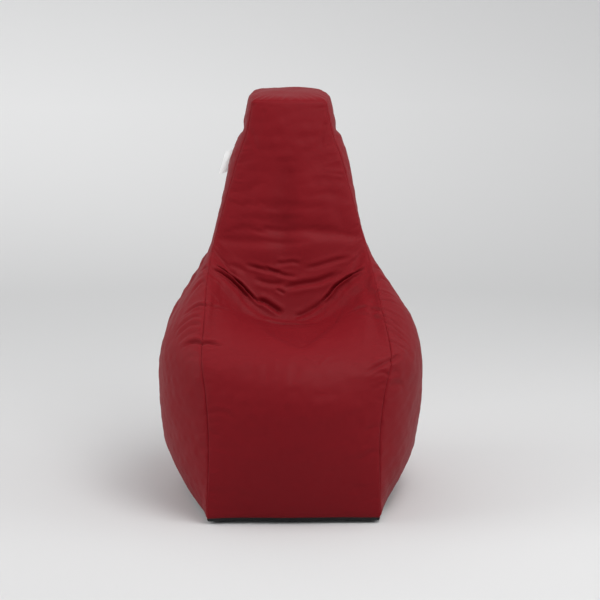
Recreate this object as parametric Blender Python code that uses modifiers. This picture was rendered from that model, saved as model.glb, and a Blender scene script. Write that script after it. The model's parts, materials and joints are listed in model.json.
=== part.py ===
"""A bean bag chair: a six-sided pear-shaped cover with a hexagonal base and cap, an inner bag with
the same cut, a bead filling, and a zip in the back hem of each bag.

Metres, +Z up. The origin is on the floor under the middle of the chair. The seat faces -Y and the
neck rises at the back, on the +Y side. Left and right are as seen from the front.
"""

import math

import bmesh
import bpy
import numpy as np

# ---- driving dimensions --------------------------------------------------------------------------
HALF_WIDTH = 0.3655         # widest place, across the two side seams
HALF_DEPTH = 0.420          # front of the belly, and the back of it
SEAM_HEIGHT = 0.016         # the base seam stands this far above the floor
CLOTH = 0.0012              # cover cloth with its backing
LINER_CLOTH = 0.0008
SEAM_GAP = 0.0013           # from a seam line to the edge of each panel, so that the inner sides clear
LINER_INSET = 0.014         # the inner bag lies this far inside the cover
FILL_INSET = 0.020          # and the beads this far
CAP_DOME = 0.024            # how far the cap stands proud of its seam
BASE_FLAT = 0.88            # share of the base that lies on the floor
GAP = 0.0003                # between pieces that touch

# The seams and the middle lines of the panels run from the base (0) to the cap (1). Each station is
# a place where their direction changes: base, hem, low wall, belly, under the lip, lip, seat, back of
# the seat, crease, root of the neck, neck, upper neck, shoulder, notch below the cap, cap.
STATIONS = [0.00, 0.05, 0.10, 0.20, 0.30, 0.38, 0.46, 0.54, 0.60, 0.66, 0.74, 0.82, 0.89, 0.94, 1.00]
FRONT_MIDDLE = [  # y, z
    (-0.385, 0.016), (-0.399, 0.064), (-0.411, 0.115), (-0.420, 0.225), (-0.408, 0.345),
    (-0.355, 0.425), (-0.255, 0.458), (-0.130, 0.470), (-0.020, 0.476), (0.035, 0.566),
    (0.058, 0.700), (0.078, 0.824), (0.096, 0.928), (0.108, 1.005), (0.124, 1.102)]
FRONT_SEAM = [  # x, y, z
    (0.233, -0.385, 0.016), (0.231, -0.387, 0.066), (0.230, -0.388, 0.118), (0.229, -0.380, 0.240),
    (0.240, -0.360, 0.355), (0.254, -0.325, 0.430), (0.251, -0.250, 0.485), (0.242, -0.155, 0.550),
    (0.235, -0.050, 0.612), (0.222, 0.040, 0.680), (0.198, 0.075, 0.770), (0.175, 0.098, 0.854),
    (0.152, 0.114, 0.938), (0.126, 0.124, 1.008), (0.102, 0.136, 1.102)]
SIDE_SEAM = [
    (0.292, 0.000, 0.016), (0.317, 0.000, 0.061), (0.338, 0.000, 0.110), (0.360, 0.000, 0.215),
    (HALF_WIDTH, 0.005, 0.305), (0.361, 0.015, 0.385), (0.341, 0.040, 0.460), (0.302, 0.085, 0.522),
    (0.255, 0.130, 0.594), (0.218, 0.175, 0.670), (0.196, 0.205, 0.767), (0.183, 0.225, 0.854),
    (0.169, 0.238, 0.943), (0.144, 0.245, 1.012), (0.121, 0.250, 1.114)]
BACK_SEAM = [
    (0.233, 0.385, 0.016), (0.232, 0.386, 0.064), (0.231, 0.390, 0.115), (0.232, 0.385, 0.235),
    (0.234, 0.375, 0.345), (0.232, 0.368, 0.430), (0.226, 0.362, 0.510), (0.214, 0.360, 0.585),
    (0.200, 0.360, 0.647), (0.186, 0.360, 0.712), (0.168, 0.360, 0.800), (0.152, 0.360, 0.879),
    (0.136, 0.360, 0.953), (0.120, 0.360, 1.022), (0.102, 0.358, 1.124)]
BACK_MIDDLE = [
    (0.385, 0.016), (0.388, 0.064), (0.408, 0.115), (0.420, 0.235), (0.420, 0.350), (0.416, 0.440),
    (0.411, 0.520), (0.406, 0.600), (0.402, 0.662), (0.398, 0.727), (0.393, 0.815), (0.388, 0.894),
    (0.383, 0.968), (0.378, 1.034), (0.368, 1.127)]
# Rows of faces up each panel, and columns across it, for the cover and for the inner bag
COVER_COLUMNS = {"middle": 8, "side": 5}
COVER_ROWS = np.array([0, 0.05, 0.11, 0.18, 0.25, 0.305, 0.34, 0.37, 0.41, 0.47, 0.53, 0.57, 0.60,
                       0.63, 0.67, 0.75, 0.84, 0.90, 0.94, 1.0])
LINER_COLUMNS = {"middle": 6, "side": 4}
LINER_ROWS = np.array([0, 0.07, 0.15, 0.24, 0.31, 0.36, 0.41, 0.48, 0.55, 0.60, 0.64, 0.70, 0.80,
                       0.89, 0.94, 1.0])
# how far the four side panels belly out from the straight line between their seams
SIDE_CROWN = [0.000, 0.012, 0.024, 0.040, 0.044, 0.044, 0.042, 0.035, 0.024, 0.013, 0.008, 0.008,
              0.008, 0.006, 0.004]

# ---- zips ----------------------------------------------------------------------------------------
TAPE_WIDTH = 0.0128
TAPE_THICK = 0.0006
TAPE_SPLIT = 0.0012         # from the middle of the zip to each tape's inner edge
COIL_SPLIT = 0.0008         # and to each coil
COIL_WIDTH = 0.0030
COIL_THICK = 0.0022
SLIDER_LENGTH = 0.013
SLIDER_WIDTH = 0.0112
PLATE_THICK = 0.0012
STOP_LENGTH = 0.0030
BAIL_HALF = 0.0034          # half the length of the loop that the puller hangs on
BAIL_POST = 0.0012
BAIL_WIDTH = 0.0024
BAIL_ROOM = 0.0012          # clear room on each side of the puller's axis
PULLER_LENGTH = 0.034
PULLER_WIDTH = 0.0092

COVER_ZIP = dict(name="zip", half=0.205, y=0.3842, z=0.0302)
LINER_ZIP = dict(name="liner_zip", half=0.160, y=0.3714, z=0.0364)
ZIP_BAND = TAPE_SPLIT + TAPE_WIDTH      # half the height of a zip

# ---- base colours --------------------------------------------------------------------------------
COVER_RED = (0.165, 0.010, 0.013, 1)
BASE_BLACK = (0.012, 0.012, 0.013, 1)
LINER_WHITE = (0.62, 0.62, 0.60, 1)
BEAD_WHITE = (0.86, 0.86, 0.85, 1)
LABEL_GREY = (0.60, 0.61, 0.61, 1)
NICKEL = (0.55, 0.54, 0.52, 1)


# ---- scene and materials -------------------------------------------------------------------------
def clear_scene():
    for obj in list(bpy.data.objects):
        bpy.data.objects.remove(obj)


def new_collection(name):
    made = bpy.data.collections.new(name)
    bpy.context.scene.collection.children.link(made)
    return made


def new_material(name, colour, roughness, metallic=0.0):
    material = bpy.data.materials.new(name)
    material.use_nodes = True
    shader = material.node_tree.nodes["Principled BSDF"]
    shader.inputs["Base Color"].default_value = colour
    shader.inputs["Roughness"].default_value = roughness
    shader.inputs["Metallic"].default_value = metallic
    return material


# ---- the pear shape ------------------------------------------------------------------------------
def along(stations, values, at):
    """A smooth line through the stations' values: cubic Hermite pieces whose slopes come from the
    neighbouring stations."""
    t, p = np.array(stations, float), np.array(values, float)
    if p.ndim == 1:
        p = p[:, None]
    slope = np.gradient(p, t, axis=0)
    at = np.clip(np.atleast_1d(at), t[0], t[-1])
    i = np.clip(np.searchsorted(t, at, side="right") - 1, 0, len(t) - 2)
    h = (t[i + 1] - t[i])[:, None]
    f = ((at - t[i])[:, None]) / h
    return (p[i] * (2 * f**3 - 3 * f**2 + 1) + slope[i] * h * (f**3 - 2 * f**2 + f)
            + p[i + 1] * (3 * f**2 - 2 * f**3) + slope[i + 1] * h * (f**3 - f**2))


def unit(vectors):
    return vectors / np.maximum(np.linalg.norm(vectors, axis=-1, keepdims=True), 1e-12)


def crown_share(s, power):
    """0 at both seams and 1 halfway between them."""
    return 1 - np.abs(2 * s - 1) ** power


def middle_panel(seam, middle, s, v, power):
    """Front or back panel: straight across from seam to seam, then pushed to its middle line."""
    line = along(STATIONS, seam, v)[:, None, :]
    centre = along(STATIONS, [(0.0, y, z) for y, z in middle], v)[:, None, :]
    side = np.array([1.0, 0.0, 0.0])
    flat = line * [0, 1, 1] + side * line[..., :1] * (2 * s - 1)[None, :, None]
    return flat + (centre - line * [0, 1, 1]) * crown_share(s, power)[None, :, None]


def side_panel(first, second, s, v):
    """A side panel on the +X side, from the first seam to the second, bellied outwards."""
    a, b = along(STATIONS, first, v), along(STATIONS, second, v)
    chord = b - a
    rise = np.gradient((a + b) / 2, axis=0) if len(v) > 1 else np.array([[0.0, 0.0, 1.0]])
    out = unit(np.cross(chord, rise))
    out = out * np.sign(out[:, :1])
    belly = along(STATIONS, SIDE_CROWN, v) * out
    share = crown_share(s, 2.2)
    return a[:, None] + chord[:, None] * s[None, :, None] + belly[:, None] * share[None, :, None]


def mirrored(grid):
    """The same panel on the -X side, with its columns turned round so that it still faces out."""
    return (grid * [-1, 1, 1])[:, ::-1]


def steps(count):
    return np.linspace(0.0, 1.0, count + 1)


def bag_panels(columns, v):
    """The six wall panels as grids of points, row by row from the base, in order round the bag."""
    wide, narrow = steps(columns["middle"]), steps(columns["side"])
    front = middle_panel(FRONT_SEAM, FRONT_MIDDLE, wide, v, 2.2)
    back = middle_panel(BACK_SEAM, BACK_MIDDLE, wide, v, 2.4)[:, ::-1]
    front_right = side_panel(FRONT_SEAM, SIDE_SEAM, narrow, v)
    back_right = side_panel(SIDE_SEAM, BACK_SEAM, narrow, v)
    return {"front": front, "front_right": front_right, "back_right": back_right, "back": back,
            "back_left": mirrored(back_right), "front_left": mirrored(front_right)}


def closed_wall(panels):
    """All six panels as one grid, each seam once, the columns going round."""
    return np.concatenate([grid[:, :-1] for grid in panels.values()], axis=1)


def outward(wall):
    """The outward direction at each point of the closed wall. At a seam it is longer, so that both
    of the panels that meet there are offset by the same amount."""
    upward = np.gradient(wall, axis=0)
    ahead = unit(np.cross(np.roll(wall, -1, axis=1) - wall, upward))
    behind = unit(np.cross(wall - np.roll(wall, 1, axis=1), upward))
    middle = unit(ahead + behind)
    return middle / np.maximum((middle * ahead).sum(axis=-1, keepdims=True), 0.6)


def ramp(v, start, end):
    """0 at start and 1 at end, smoothly."""
    f = np.clip((v - start) / (end - start), 0, 1)
    return f * f * (3 - 2 * f)


def inset_wall(wall, v, inset):
    """The closed wall moved inwards, its base seam raised and its cap seam lowered to match. Near
    both ends the move is level, so that each seam stays at one height."""
    away = outward(wall)
    away[..., 2] *= (ramp(v, 0.0, 0.15) * (1 - ramp(v, 0.85, 1.0)))[:, None]
    moved = wall - away * inset
    moved[..., 2] += (0.45 * inset * (1 - ramp(v, 0.0, 0.1)) - inset * ramp(v, 0.93, 1.0))[:, None]
    return moved


def split_wall(wall, columns):
    """The closed wall cut at its seams again."""
    looped = np.concatenate([wall, wall[:, :1]], axis=1)
    widths = [columns["middle"], columns["side"], columns["side"]] * 2
    starts = np.cumsum([0] + widths[:-1])
    names = ["front", "front_right", "back_right", "back", "back_left", "front_left"]
    return {name: looped[:, a:a + n + 1] for name, a, n in zip(names, starts, widths)}


def drawn_in(grid, gap):
    """A panel with its four edges drawn in from the seam lines by the gap."""
    made = grid.copy()
    for edge, beside in ((np.s_[:, 0], np.s_[:, 1]), (np.s_[:, -1], np.s_[:, -2])):
        made[edge] = grid[edge] + unit(grid[beside] - grid[edge]) * gap
    first = made[0] + unit(made[1] - made[0]) * gap
    last = made[-1] + unit(made[-2] - made[-1]) * gap
    made[0], made[-1] = first, last
    return made


# ---- meshes --------------------------------------------------------------------------------------
def add_mesh(name, points, faces, material, collection):
    mesh = bpy.data.meshes.new(name)
    mesh.from_pydata([tuple(p) for p in points], [], faces)
    mesh.materials.append(material)
    obj = bpy.data.objects.new(name, mesh)
    collection.objects.link(obj)
    return obj


def thicken(obj, thickness):
    solidify = obj.modifiers.new("cloth", "SOLIDIFY")
    solidify.thickness = thickness
    solidify.offset = -1
    solidify.use_even_offset = False


def cloth_panel(name, points, thickness, material, collection):
    """A flat grid bent onto the points of a panel, whose columns run to the right as seen from
    outside the bag."""
    rows, columns = points.shape[:2]
    mesh = bpy.data.meshes.new(name)
    sheet = bmesh.new()
    bmesh.ops.create_grid(sheet, x_segments=columns - 1, y_segments=rows - 1, size=1.0)
    for vertex, point in zip(sheet.verts, points.reshape(-1, 3)):
        vertex.co = point
    sheet.to_mesh(mesh)
    sheet.free()
    mesh.materials.append(material)
    mesh.shade_smooth()
    obj = bpy.data.objects.new(name, mesh)
    collection.objects.link(obj)
    thicken(obj, thickness)


def rings_to_middle(name, rings, middle, upward, material, collection):
    """A cap or base: rings of points from its seam inwards, closed by a fan round the middle."""
    count = len(rings[0])
    points = [p for ring in rings for p in ring] + [middle]
    last = len(points) - 1
    faces = []
    for r in range(len(rings) - 1):
        for c in range(count):
            d = (c + 1) % count
            faces.append((r * count + c, r * count + d, (r + 1) * count + d, (r + 1) * count + c))
    start = (len(rings) - 1) * count
    faces += [(start + c, start + (c + 1) % count, last) for c in range(count)]
    if not upward:
        faces = [face[::-1] for face in faces]
    return add_mesh(name, points, faces, material, collection)


def shrunk(ring, share):
    """The ring drawn in towards its middle to this share of its size."""
    middle = ring.mean(axis=0)
    return middle + (ring - middle) * share


def cap_rings(seam, dome):
    """Rings of a domed cap: a quarter of an ellipse from its seam up to its middle."""
    drawn = 1 - 2 * SEAM_GAP / np.ptp(seam[:, 1])
    made = []
    for share in (drawn, 0.84, 0.5):
        ring = shrunk(seam, share)
        ring[:, 2] += dome * math.sqrt(1 - share**2) + (GAP if share == drawn else 0.0)
        made.append(ring)
    return made, seam.mean(axis=0) + [0, 0, dome]


def base_rings(seam, floor):
    """Rings of a base that curls up to its seam from a flat face on the floor."""
    drawn = 1 - 3 * SEAM_GAP / np.ptp(seam[:, 0])
    rim = shrunk(seam, drawn) - [0, 0, SEAM_GAP]
    bend = shrunk(seam, (1 + BASE_FLAT) / 2 + 0.015)
    bend[:, 2] = floor + 0.22 * (seam[:, 2] - floor)
    flat = shrunk(seam, BASE_FLAT)
    flat[:, 2] = floor
    middle = flat.mean(axis=0)
    return [rim, bend, flat], middle


# ---- the two bags --------------------------------------------------------------------------------
def bag_walls(prefix, panels, v, thickness, material, collection, zip_spec):
    for place, grid in panels.items():
        if place == "back":     # its lower edge stops above the zip
            grid = above(grid, zip_spec["z"] + ZIP_BAND + GAP)
        cloth_panel(f"{prefix}{place}_panel", drawn_in(grid, SEAM_GAP), thickness, material, collection)


def above(grid, height):
    """The part of a panel above a height, its lowest row brought down or up to that height."""
    first = int(np.argmax(grid[:, :, 2].mean(axis=1) > height + 0.004))
    low, high = grid[first - 1], grid[first]
    share = (height - low[:, 2]) / (high[:, 2] - low[:, 2])
    cut = low + (high - low) * share[:, None]
    return np.concatenate([cut[None], grid[first:]])


def build_cover(parts, red, black):
    columns, v = COVER_COLUMNS, COVER_ROWS
    panels = bag_panels(columns, v)
    bag_walls("", panels, v, CLOTH, red, parts, COVER_ZIP)
    wall = closed_wall(panels)
    rings, middle = cap_rings(wall[-1], CAP_DOME)
    thicken(rings_to_middle("top_cap", rings, middle, True, red, parts), CLOTH)
    rings, middle = base_rings(wall[0], 0.0)
    base = rings_to_middle("base_panel", rings, middle, False, black, parts)
    thicken(base, CLOTH)


def build_liner(parts, white):
    columns, v = LINER_COLUMNS, LINER_ROWS
    wall = inset_wall(closed_wall(bag_panels(columns, v)), v, LINER_INSET)
    bag_walls("liner_", split_wall(wall, columns), v, LINER_CLOTH, white, parts, LINER_ZIP)
    rings, middle = cap_rings(wall[-1], CAP_DOME)
    thicken(rings_to_middle("liner_top_cap", rings, middle, True, white, parts), LINER_CLOTH)
    rings, middle = base_rings(wall[0], 0.005)
    thicken(rings_to_middle("liner_base_panel", rings, middle, False, white, parts), LINER_CLOTH)


def build_filling(parts, bead):
    """The bead filling, one closed body that takes the shape of the inner bag."""
    columns, v = LINER_COLUMNS, LINER_ROWS
    wall = inset_wall(closed_wall(bag_panels(columns, v)), v, FILL_INSET)
    count = wall.shape[1]
    top, _ = cap_rings(wall[-1], CAP_DOME)
    flat = shrunk(wall[0], BASE_FLAT)
    flat[:, 2] = 0.012
    rings = [flat, *wall, *top[1:]]
    points = np.concatenate([*rings, [flat.mean(axis=0)], [wall[-1].mean(axis=0) + [0, 0, CAP_DOME]]])
    under, crown = len(points) - 2, len(points) - 1
    faces = []
    for r in range(len(rings) - 1):
        for c in range(count):
            d = (c + 1) % count
            faces.append((r * count + c, r * count + d, (r + 1) * count + d, (r + 1) * count + c))
    start = (len(rings) - 1) * count
    for c in range(count):
        d = (c + 1) % count
        faces += [(d, c, under), (start + c, start + d, crown)]
    add_mesh("bead_filling", points, faces, bead, parts)


# ---- small hard pieces ---------------------------------------------------------------------------
def add_box(name, low, high, material, collection, bevel=0.0):
    """A box between two corners, from a unit cube, its size applied."""
    low, high = np.array(low), np.array(high)
    mesh = bpy.data.meshes.new(name)
    box = bmesh.new()
    bmesh.ops.create_cube(box, size=1.0)
    bmesh.ops.scale(box, vec=tuple(high - low), verts=box.verts)
    box.to_mesh(mesh)
    box.free()
    mesh.materials.append(material)
    obj = bpy.data.objects.new(name, mesh)
    obj.location = tuple((low + high) / 2)
    collection.objects.link(obj)
    if bevel:
        rounding = obj.modifiers.new("rounding", "BEVEL")
        rounding.width = bevel
        rounding.segments = 1
    return obj


def hide_helper(obj):
    obj.hide_render = True
    obj.display_type = "WIRE"


def unite(obj, helper):
    hide_helper(helper)
    joined = obj.modifiers.new("join " + helper.name, "BOOLEAN")
    joined.operation = "UNION"
    joined.object = helper


def zip_levels(spec):
    """Heights of the zip's layers along Y, from the middle of its tape outwards."""
    coil_low = spec["y"] + TAPE_THICK / 2 + GAP
    coil_high = coil_low + COIL_THICK
    outer_low = coil_high + 0.0004
    return {"coil": (coil_low, coil_high), "outer": (outer_low, outer_low + PLATE_THICK),
            "inner": (spec["y"] - TAPE_THICK / 2 - 0.0004 - PLATE_THICK,
                      spec["y"] - TAPE_THICK / 2 - 0.0004)}


def build_tapes_and_coils(spec, parts, tape_cloth, coil_plastic):
    y, z, half = spec["y"], spec["z"], spec["half"]
    levels = zip_levels(spec)
    coil_half = half - 0.008
    for side, sign in (("upper", 1), ("lower", -1)):
        tape = sorted([z + sign * TAPE_SPLIT, z + sign * ZIP_BAND])
        add_box(f"{spec['name']}_tape_{side}", (-half, y - TAPE_THICK / 2, tape[0]),
                (half, y + TAPE_THICK / 2, tape[1]), tape_cloth, parts)
        coil = sorted([z + sign * COIL_SPLIT, z + sign * (COIL_SPLIT + COIL_WIDTH)])
        add_box(f"{spec['name']}_coil_{side}", (-coil_half, levels["coil"][0], coil[0]),
                (coil_half, levels["coil"][1], coil[1]), coil_plastic, parts, bevel=0.0006)
        stop = (coil_half + GAP, coil_half + GAP + STOP_LENGTH)
        add_box(f"{spec['name']}_top_stop_{side}", (stop[0], levels["coil"][0], coil[0]),
                (stop[1], levels["coil"][1] - 0.0004, coil[1]), coil_plastic, parts)
    wide = COIL_SPLIT + COIL_WIDTH
    add_box(f"{spec['name']}_bottom_stop",
            (-coil_half - GAP - STOP_LENGTH, levels["coil"][0], z - wide),
            (-coil_half - GAP, levels["coil"][1] - 0.0004, z + wide), coil_plastic, parts)


def build_end_tabs(spec, wall_half, thickness, cloth, parts):
    """Cloth tabs that close the hem between each end of the zip and the back seams."""
    for side, sign in (("right", 1), ("left", -1)):
        ends = sorted([sign * (spec["half"] + GAP), sign * (wall_half - 3 * SEAM_GAP)])
        add_box(f"{spec['name']}_end_tab_{side}", (ends[0], spec["y"] - thickness / 2, spec["z"] - ZIP_BAND),
                (ends[1], spec["y"] + thickness / 2, spec["z"] + ZIP_BAND), cloth, parts)


def build_slider(spec, at, parts, helpers, metal, with_bail):
    """Two plates that hold both coils, joined by a neck that runs between the coils, with flanges
    that keep the tapes in and, on the cover's zip, a bail for the puller."""
    z, half_x, half_z = spec["z"], SLIDER_LENGTH / 2, SLIDER_WIDTH / 2
    levels = zip_levels(spec)
    (inner_low, inner_high), (outer_low, outer_high) = levels["inner"], levels["outer"]
    name = f"{spec['name']}_slider"
    body = add_box(name, (at - half_x, outer_low, z - half_z), (at + half_x, outer_high, z + half_z),
                   metal, parts)
    lap = 0.0002
    unite(body, add_box(name + "_inner_plate", (at - half_x, inner_low, z - half_z),
                        (at + half_x, inner_high, z + half_z), metal, helpers))
    unite(body, add_box(name + "_neck", (at + 0.0010, inner_high - lap, z - 0.0005),
                        (at + 0.0050, outer_low + lap, z + 0.0005), metal, helpers))
    for sign in (1, -1):
        edge = sorted([z + sign * half_z, z + sign * (half_z - 0.0010)])
        unite(body, add_box(f"{name}_flange_{sign}",
                            (at - half_x, spec["y"] + TAPE_THICK / 2 + 0.0004, edge[0]),
                            (at + half_x, outer_low + lap, edge[1]), metal, helpers))
    if with_bail:
        top = outer_high + 2 * BAIL_ROOM
        for sign in (1, -1):
            post = sorted([at + sign * BAIL_HALF, at + sign * (BAIL_HALF - BAIL_POST)])
            unite(body, add_box(f"{name}_post_{sign}", (post[0], outer_high - lap, z - BAIL_WIDTH / 2),
                                (post[1], top + lap, z + BAIL_WIDTH / 2), metal, helpers))
        unite(body, add_box(name + "_bar", (at - BAIL_HALF, top, z - BAIL_WIDTH / 2),
                            (at + BAIL_HALF, top + 0.0010, z + BAIL_WIDTH / 2), metal, helpers))
    return outer_high + BAIL_ROOM


def rounded_outline(curve, points, closed=True):
    spline = curve.splines.new("POLY")
    spline.points.add(len(points) - 1)
    for target, (x, y) in zip(spline.points, points):
        target.co = (x, y, 0.0, 1.0)
    spline.use_cyclic_u = closed


def arc(centre, radius, start, end, count):
    return [(centre[0] + radius * math.cos(a), centre[1] + radius * math.sin(a))
            for a in np.radians(np.linspace(start, end, count))]


def build_puller(spec, at, axis_y, parts, metal):
    """A flat tab whose eye hangs on the bail. Its origin is on its hinge axis, which runs along Z;
    at rest it lies along -X, over the closed coils."""
    curve = bpy.data.curves.new("puller", "CURVE")
    curve.dimensions = "2D"
    curve.fill_mode = "BOTH"
    curve.extrude = 0.0006
    half_eye, half_tab, bar = 0.0040, PULLER_WIDTH / 2, 0.0007
    tip = PULLER_LENGTH - half_tab
    outline = [(bar, half_eye), (-0.0055, half_eye), (-0.0090, half_tab)]
    outline += arc((-tip, 0), half_tab, 90, 270, 9)
    outline += [(-0.0090, -half_tab), (-0.0055, -half_eye), (bar, -half_eye)]
    rounded_outline(curve, outline)
    rounded_outline(curve, [(-bar, 0.0018), (-bar, -0.0018), (-0.0050, -0.0018), (-0.0050, 0.0018)])
    rounded_outline(curve, arc((-tip, 0), 0.0024, 0, 315, 8))
    flat = bpy.data.objects.new("puller_outline", curve)
    parts.objects.link(flat)
    flat.rotation_euler = (math.pi / 2, 0, 0)
    flat.location = (at, axis_y, spec["z"])
    bpy.context.view_layer.update()
    graph = bpy.context.evaluated_depsgraph_get()
    mesh = bpy.data.meshes.new_from_object(flat.evaluated_get(graph))
    cleaned = bmesh.new()
    cleaned.from_mesh(mesh)
    bmesh.ops.remove_doubles(cleaned, verts=cleaned.verts, dist=1e-6)
    cleaned.to_mesh(mesh)
    cleaned.free()
    mesh.materials.clear()
    mesh.materials.append(metal)
    puller = bpy.data.objects.new(f"{spec['name']}_puller", mesh)
    puller.matrix_world = flat.matrix_world
    bpy.data.objects.remove(flat)
    parts.objects.link(puller)


def build_label(parts, cloth):
    """A blank folded label that hangs from the left side seam below the notch of the neck."""
    width, height, thick = 0.027, 0.062, 0.0010
    centre_z, lean = 0.918, math.radians(12)
    seam = along(STATIONS, SIDE_SEAM, 0.875)[0]
    label = add_box("side_label", (-width / 2, -thick / 2, -height / 2),
                    (width / 2, thick / 2, height / 2), cloth, parts)
    label.rotation_euler = (0, lean, 0)
    label.location = (-seam[0] - width / 2 - 0.004, seam[1], centre_z)


def main():
    clear_scene()
    parts = new_collection("bean_bag_chair")
    helpers = new_collection("helpers")
    red = new_material("cover_cloth", COVER_RED, 0.62)
    black = new_material("base_cloth", BASE_BLACK, 0.8)
    white = new_material("liner_cloth", LINER_WHITE, 0.7)
    bead = new_material("beads", BEAD_WHITE, 0.6)
    grey = new_material("label_cloth", LABEL_GREY, 0.75)
    metal = new_material("nickel", NICKEL, 0.3, 1.0)
    tape = new_material("zip_tape", BASE_BLACK, 0.8)
    coil = new_material("zip_coil", BASE_BLACK, 0.4)
    liner_tape = new_material("liner_zip_tape", LINER_WHITE, 0.8)
    liner_coil = new_material("liner_zip_coil", LINER_WHITE, 0.4)

    build_cover(parts, red, black)
    build_liner(parts, white)
    build_filling(parts, bead)
    build_label(parts, grey)

    build_tapes_and_coils(COVER_ZIP, parts, tape, coil)
    build_end_tabs(COVER_ZIP, FRONT_SEAM[0][0], CLOTH, red, parts)
    closed_at = COVER_ZIP["half"] - 0.008 - SLIDER_LENGTH / 2
    axis_y = build_slider(COVER_ZIP, closed_at, parts, helpers, metal, True)
    build_puller(COVER_ZIP, closed_at, axis_y, parts, metal)

    build_tapes_and_coils(LINER_ZIP, parts, liner_tape, liner_coil)
    build_end_tabs(LINER_ZIP, FRONT_SEAM[0][0] - LINER_INSET, LINER_CLOTH, white, parts)
    liner_closed_at = LINER_ZIP["half"] - 0.008 - SLIDER_LENGTH / 2
    build_slider(LINER_ZIP, liner_closed_at, parts, helpers, metal, False)


main()
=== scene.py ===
import json
import math

import bmesh
import bpy
import numpy as np
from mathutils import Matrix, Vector


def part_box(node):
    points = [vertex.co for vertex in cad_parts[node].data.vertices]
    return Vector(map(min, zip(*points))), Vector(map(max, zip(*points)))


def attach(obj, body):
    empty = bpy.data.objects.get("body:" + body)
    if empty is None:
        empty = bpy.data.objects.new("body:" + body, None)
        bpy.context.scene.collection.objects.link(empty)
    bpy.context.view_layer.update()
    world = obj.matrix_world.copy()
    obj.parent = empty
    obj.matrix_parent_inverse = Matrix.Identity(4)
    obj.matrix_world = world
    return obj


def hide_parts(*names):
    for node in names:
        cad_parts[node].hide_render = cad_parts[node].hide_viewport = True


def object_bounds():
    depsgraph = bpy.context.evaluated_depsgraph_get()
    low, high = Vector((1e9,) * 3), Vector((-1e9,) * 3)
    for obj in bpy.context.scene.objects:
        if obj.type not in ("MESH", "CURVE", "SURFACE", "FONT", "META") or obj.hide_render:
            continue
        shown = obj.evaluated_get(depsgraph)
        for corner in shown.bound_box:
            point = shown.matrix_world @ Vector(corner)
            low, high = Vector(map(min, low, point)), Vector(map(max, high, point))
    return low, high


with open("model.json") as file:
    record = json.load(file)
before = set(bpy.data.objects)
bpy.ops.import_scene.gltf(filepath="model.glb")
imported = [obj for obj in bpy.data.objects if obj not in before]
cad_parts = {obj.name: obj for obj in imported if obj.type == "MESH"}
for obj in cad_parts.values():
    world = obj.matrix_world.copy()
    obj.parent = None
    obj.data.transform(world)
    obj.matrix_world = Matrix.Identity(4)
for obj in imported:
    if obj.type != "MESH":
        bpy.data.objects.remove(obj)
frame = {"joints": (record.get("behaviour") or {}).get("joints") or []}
cadLow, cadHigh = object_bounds()
millimetre = 0.001
print("frame loaded, CAD box", [round(b - a, 3) for a, b in zip(cadLow, cadHigh)])


# camera: a long lens a little above the height of the chair's top, and a little to its left

cameraSet = {"distance": 4.5, "azimuth": -1.45, "elevation": 9.3, "aim": 0.543, "lens": 94.7,
             "shift": 0.0168}


def makeCamera(s):
    camera = bpy.data.objects.new("camera", bpy.data.cameras.new("camera"))
    camera.data.sensor_width = 36.0
    camera.data.lens = s["lens"]
    camera.data.shift_x = s["shift"]
    a, e = math.radians(s["azimuth"]), math.radians(s["elevation"])
    back = Vector((math.sin(a) * math.cos(e), -math.cos(a) * math.cos(e), math.sin(e)))
    camera.location = Vector((0, 0, s["aim"])) + back * s["distance"]
    camera.rotation_euler = (-back).to_track_quat("-Z", "Y").to_euler()
    bpy.context.collection.objects.link(camera)
    bpy.context.scene.camera = camera


makeCamera(cameraSet)


# mesh helpers

def setSmooth(mesh):
    mesh.polygons.foreach_set("use_smooth", np.full(len(mesh.polygons), True))


def newMesh(name, points, quads, uv=None, triangles=None):
    points = np.asarray(points, float).reshape(-1, 3)
    quads = np.asarray(quads, int).reshape(-1, 4)
    loops = quads.ravel()
    sizes = np.full(len(quads), 4)
    if triangles is not None:
        loops = np.concatenate([loops, np.asarray(triangles, int).ravel()])
        sizes = np.concatenate([sizes, np.full(len(triangles), 3)])
    mesh = bpy.data.meshes.new(name)
    mesh.vertices.add(len(points))
    mesh.vertices.foreach_set("co", points.ravel())
    mesh.loops.add(len(loops))
    mesh.loops.foreach_set("vertex_index", loops.astype(np.int32))
    mesh.polygons.add(len(sizes))
    mesh.polygons.foreach_set("loop_start", np.concatenate([[0], np.cumsum(sizes)[:-1]]).astype(np.int32))
    if uv is not None:
        layer = mesh.uv_layers.new(name="cloth")
        layer.data.foreach_set("uv", np.asarray(uv, float).reshape(-1, 2)[loops].ravel())
    mesh.update(calc_edges=True)
    mesh.validate()
    setSmooth(mesh)
    return mesh


def addPiece(name, mesh, material, body, replaced):
    piece = bpy.data.objects.new(name, mesh)
    bpy.context.collection.objects.link(piece)
    piece.data.materials.append(material)
    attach(piece, body)
    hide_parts(*replaced)
    return piece


def gridQuads(rows, columns, wrap=False):
    # four corners of each cell; the surface faces the side from which its columns run to the right
    r, c = np.meshgrid(np.arange(rows - 1), np.arange(columns if wrap else columns - 1), indexing="ij")
    d = (c + 1) % columns
    corners = [r * columns + c, r * columns + d, (r + 1) * columns + d, (r + 1) * columns + c]
    return np.stack(corners, -1).reshape(-1, 4)


def unit(vectors):
    return vectors / np.maximum(np.linalg.norm(vectors, axis=-1, keepdims=True), 1e-12)


def gridNormals(points):
    return unit(np.cross(np.gradient(points, axis=1), np.gradient(points, axis=0)))


# the pear: lines up the bag from the base seam (0) to the cap seam (1), through points in metres at
# the heights in "at". Its corner lines are the seams, and two more run up the middle of the front
# and of the back

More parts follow.
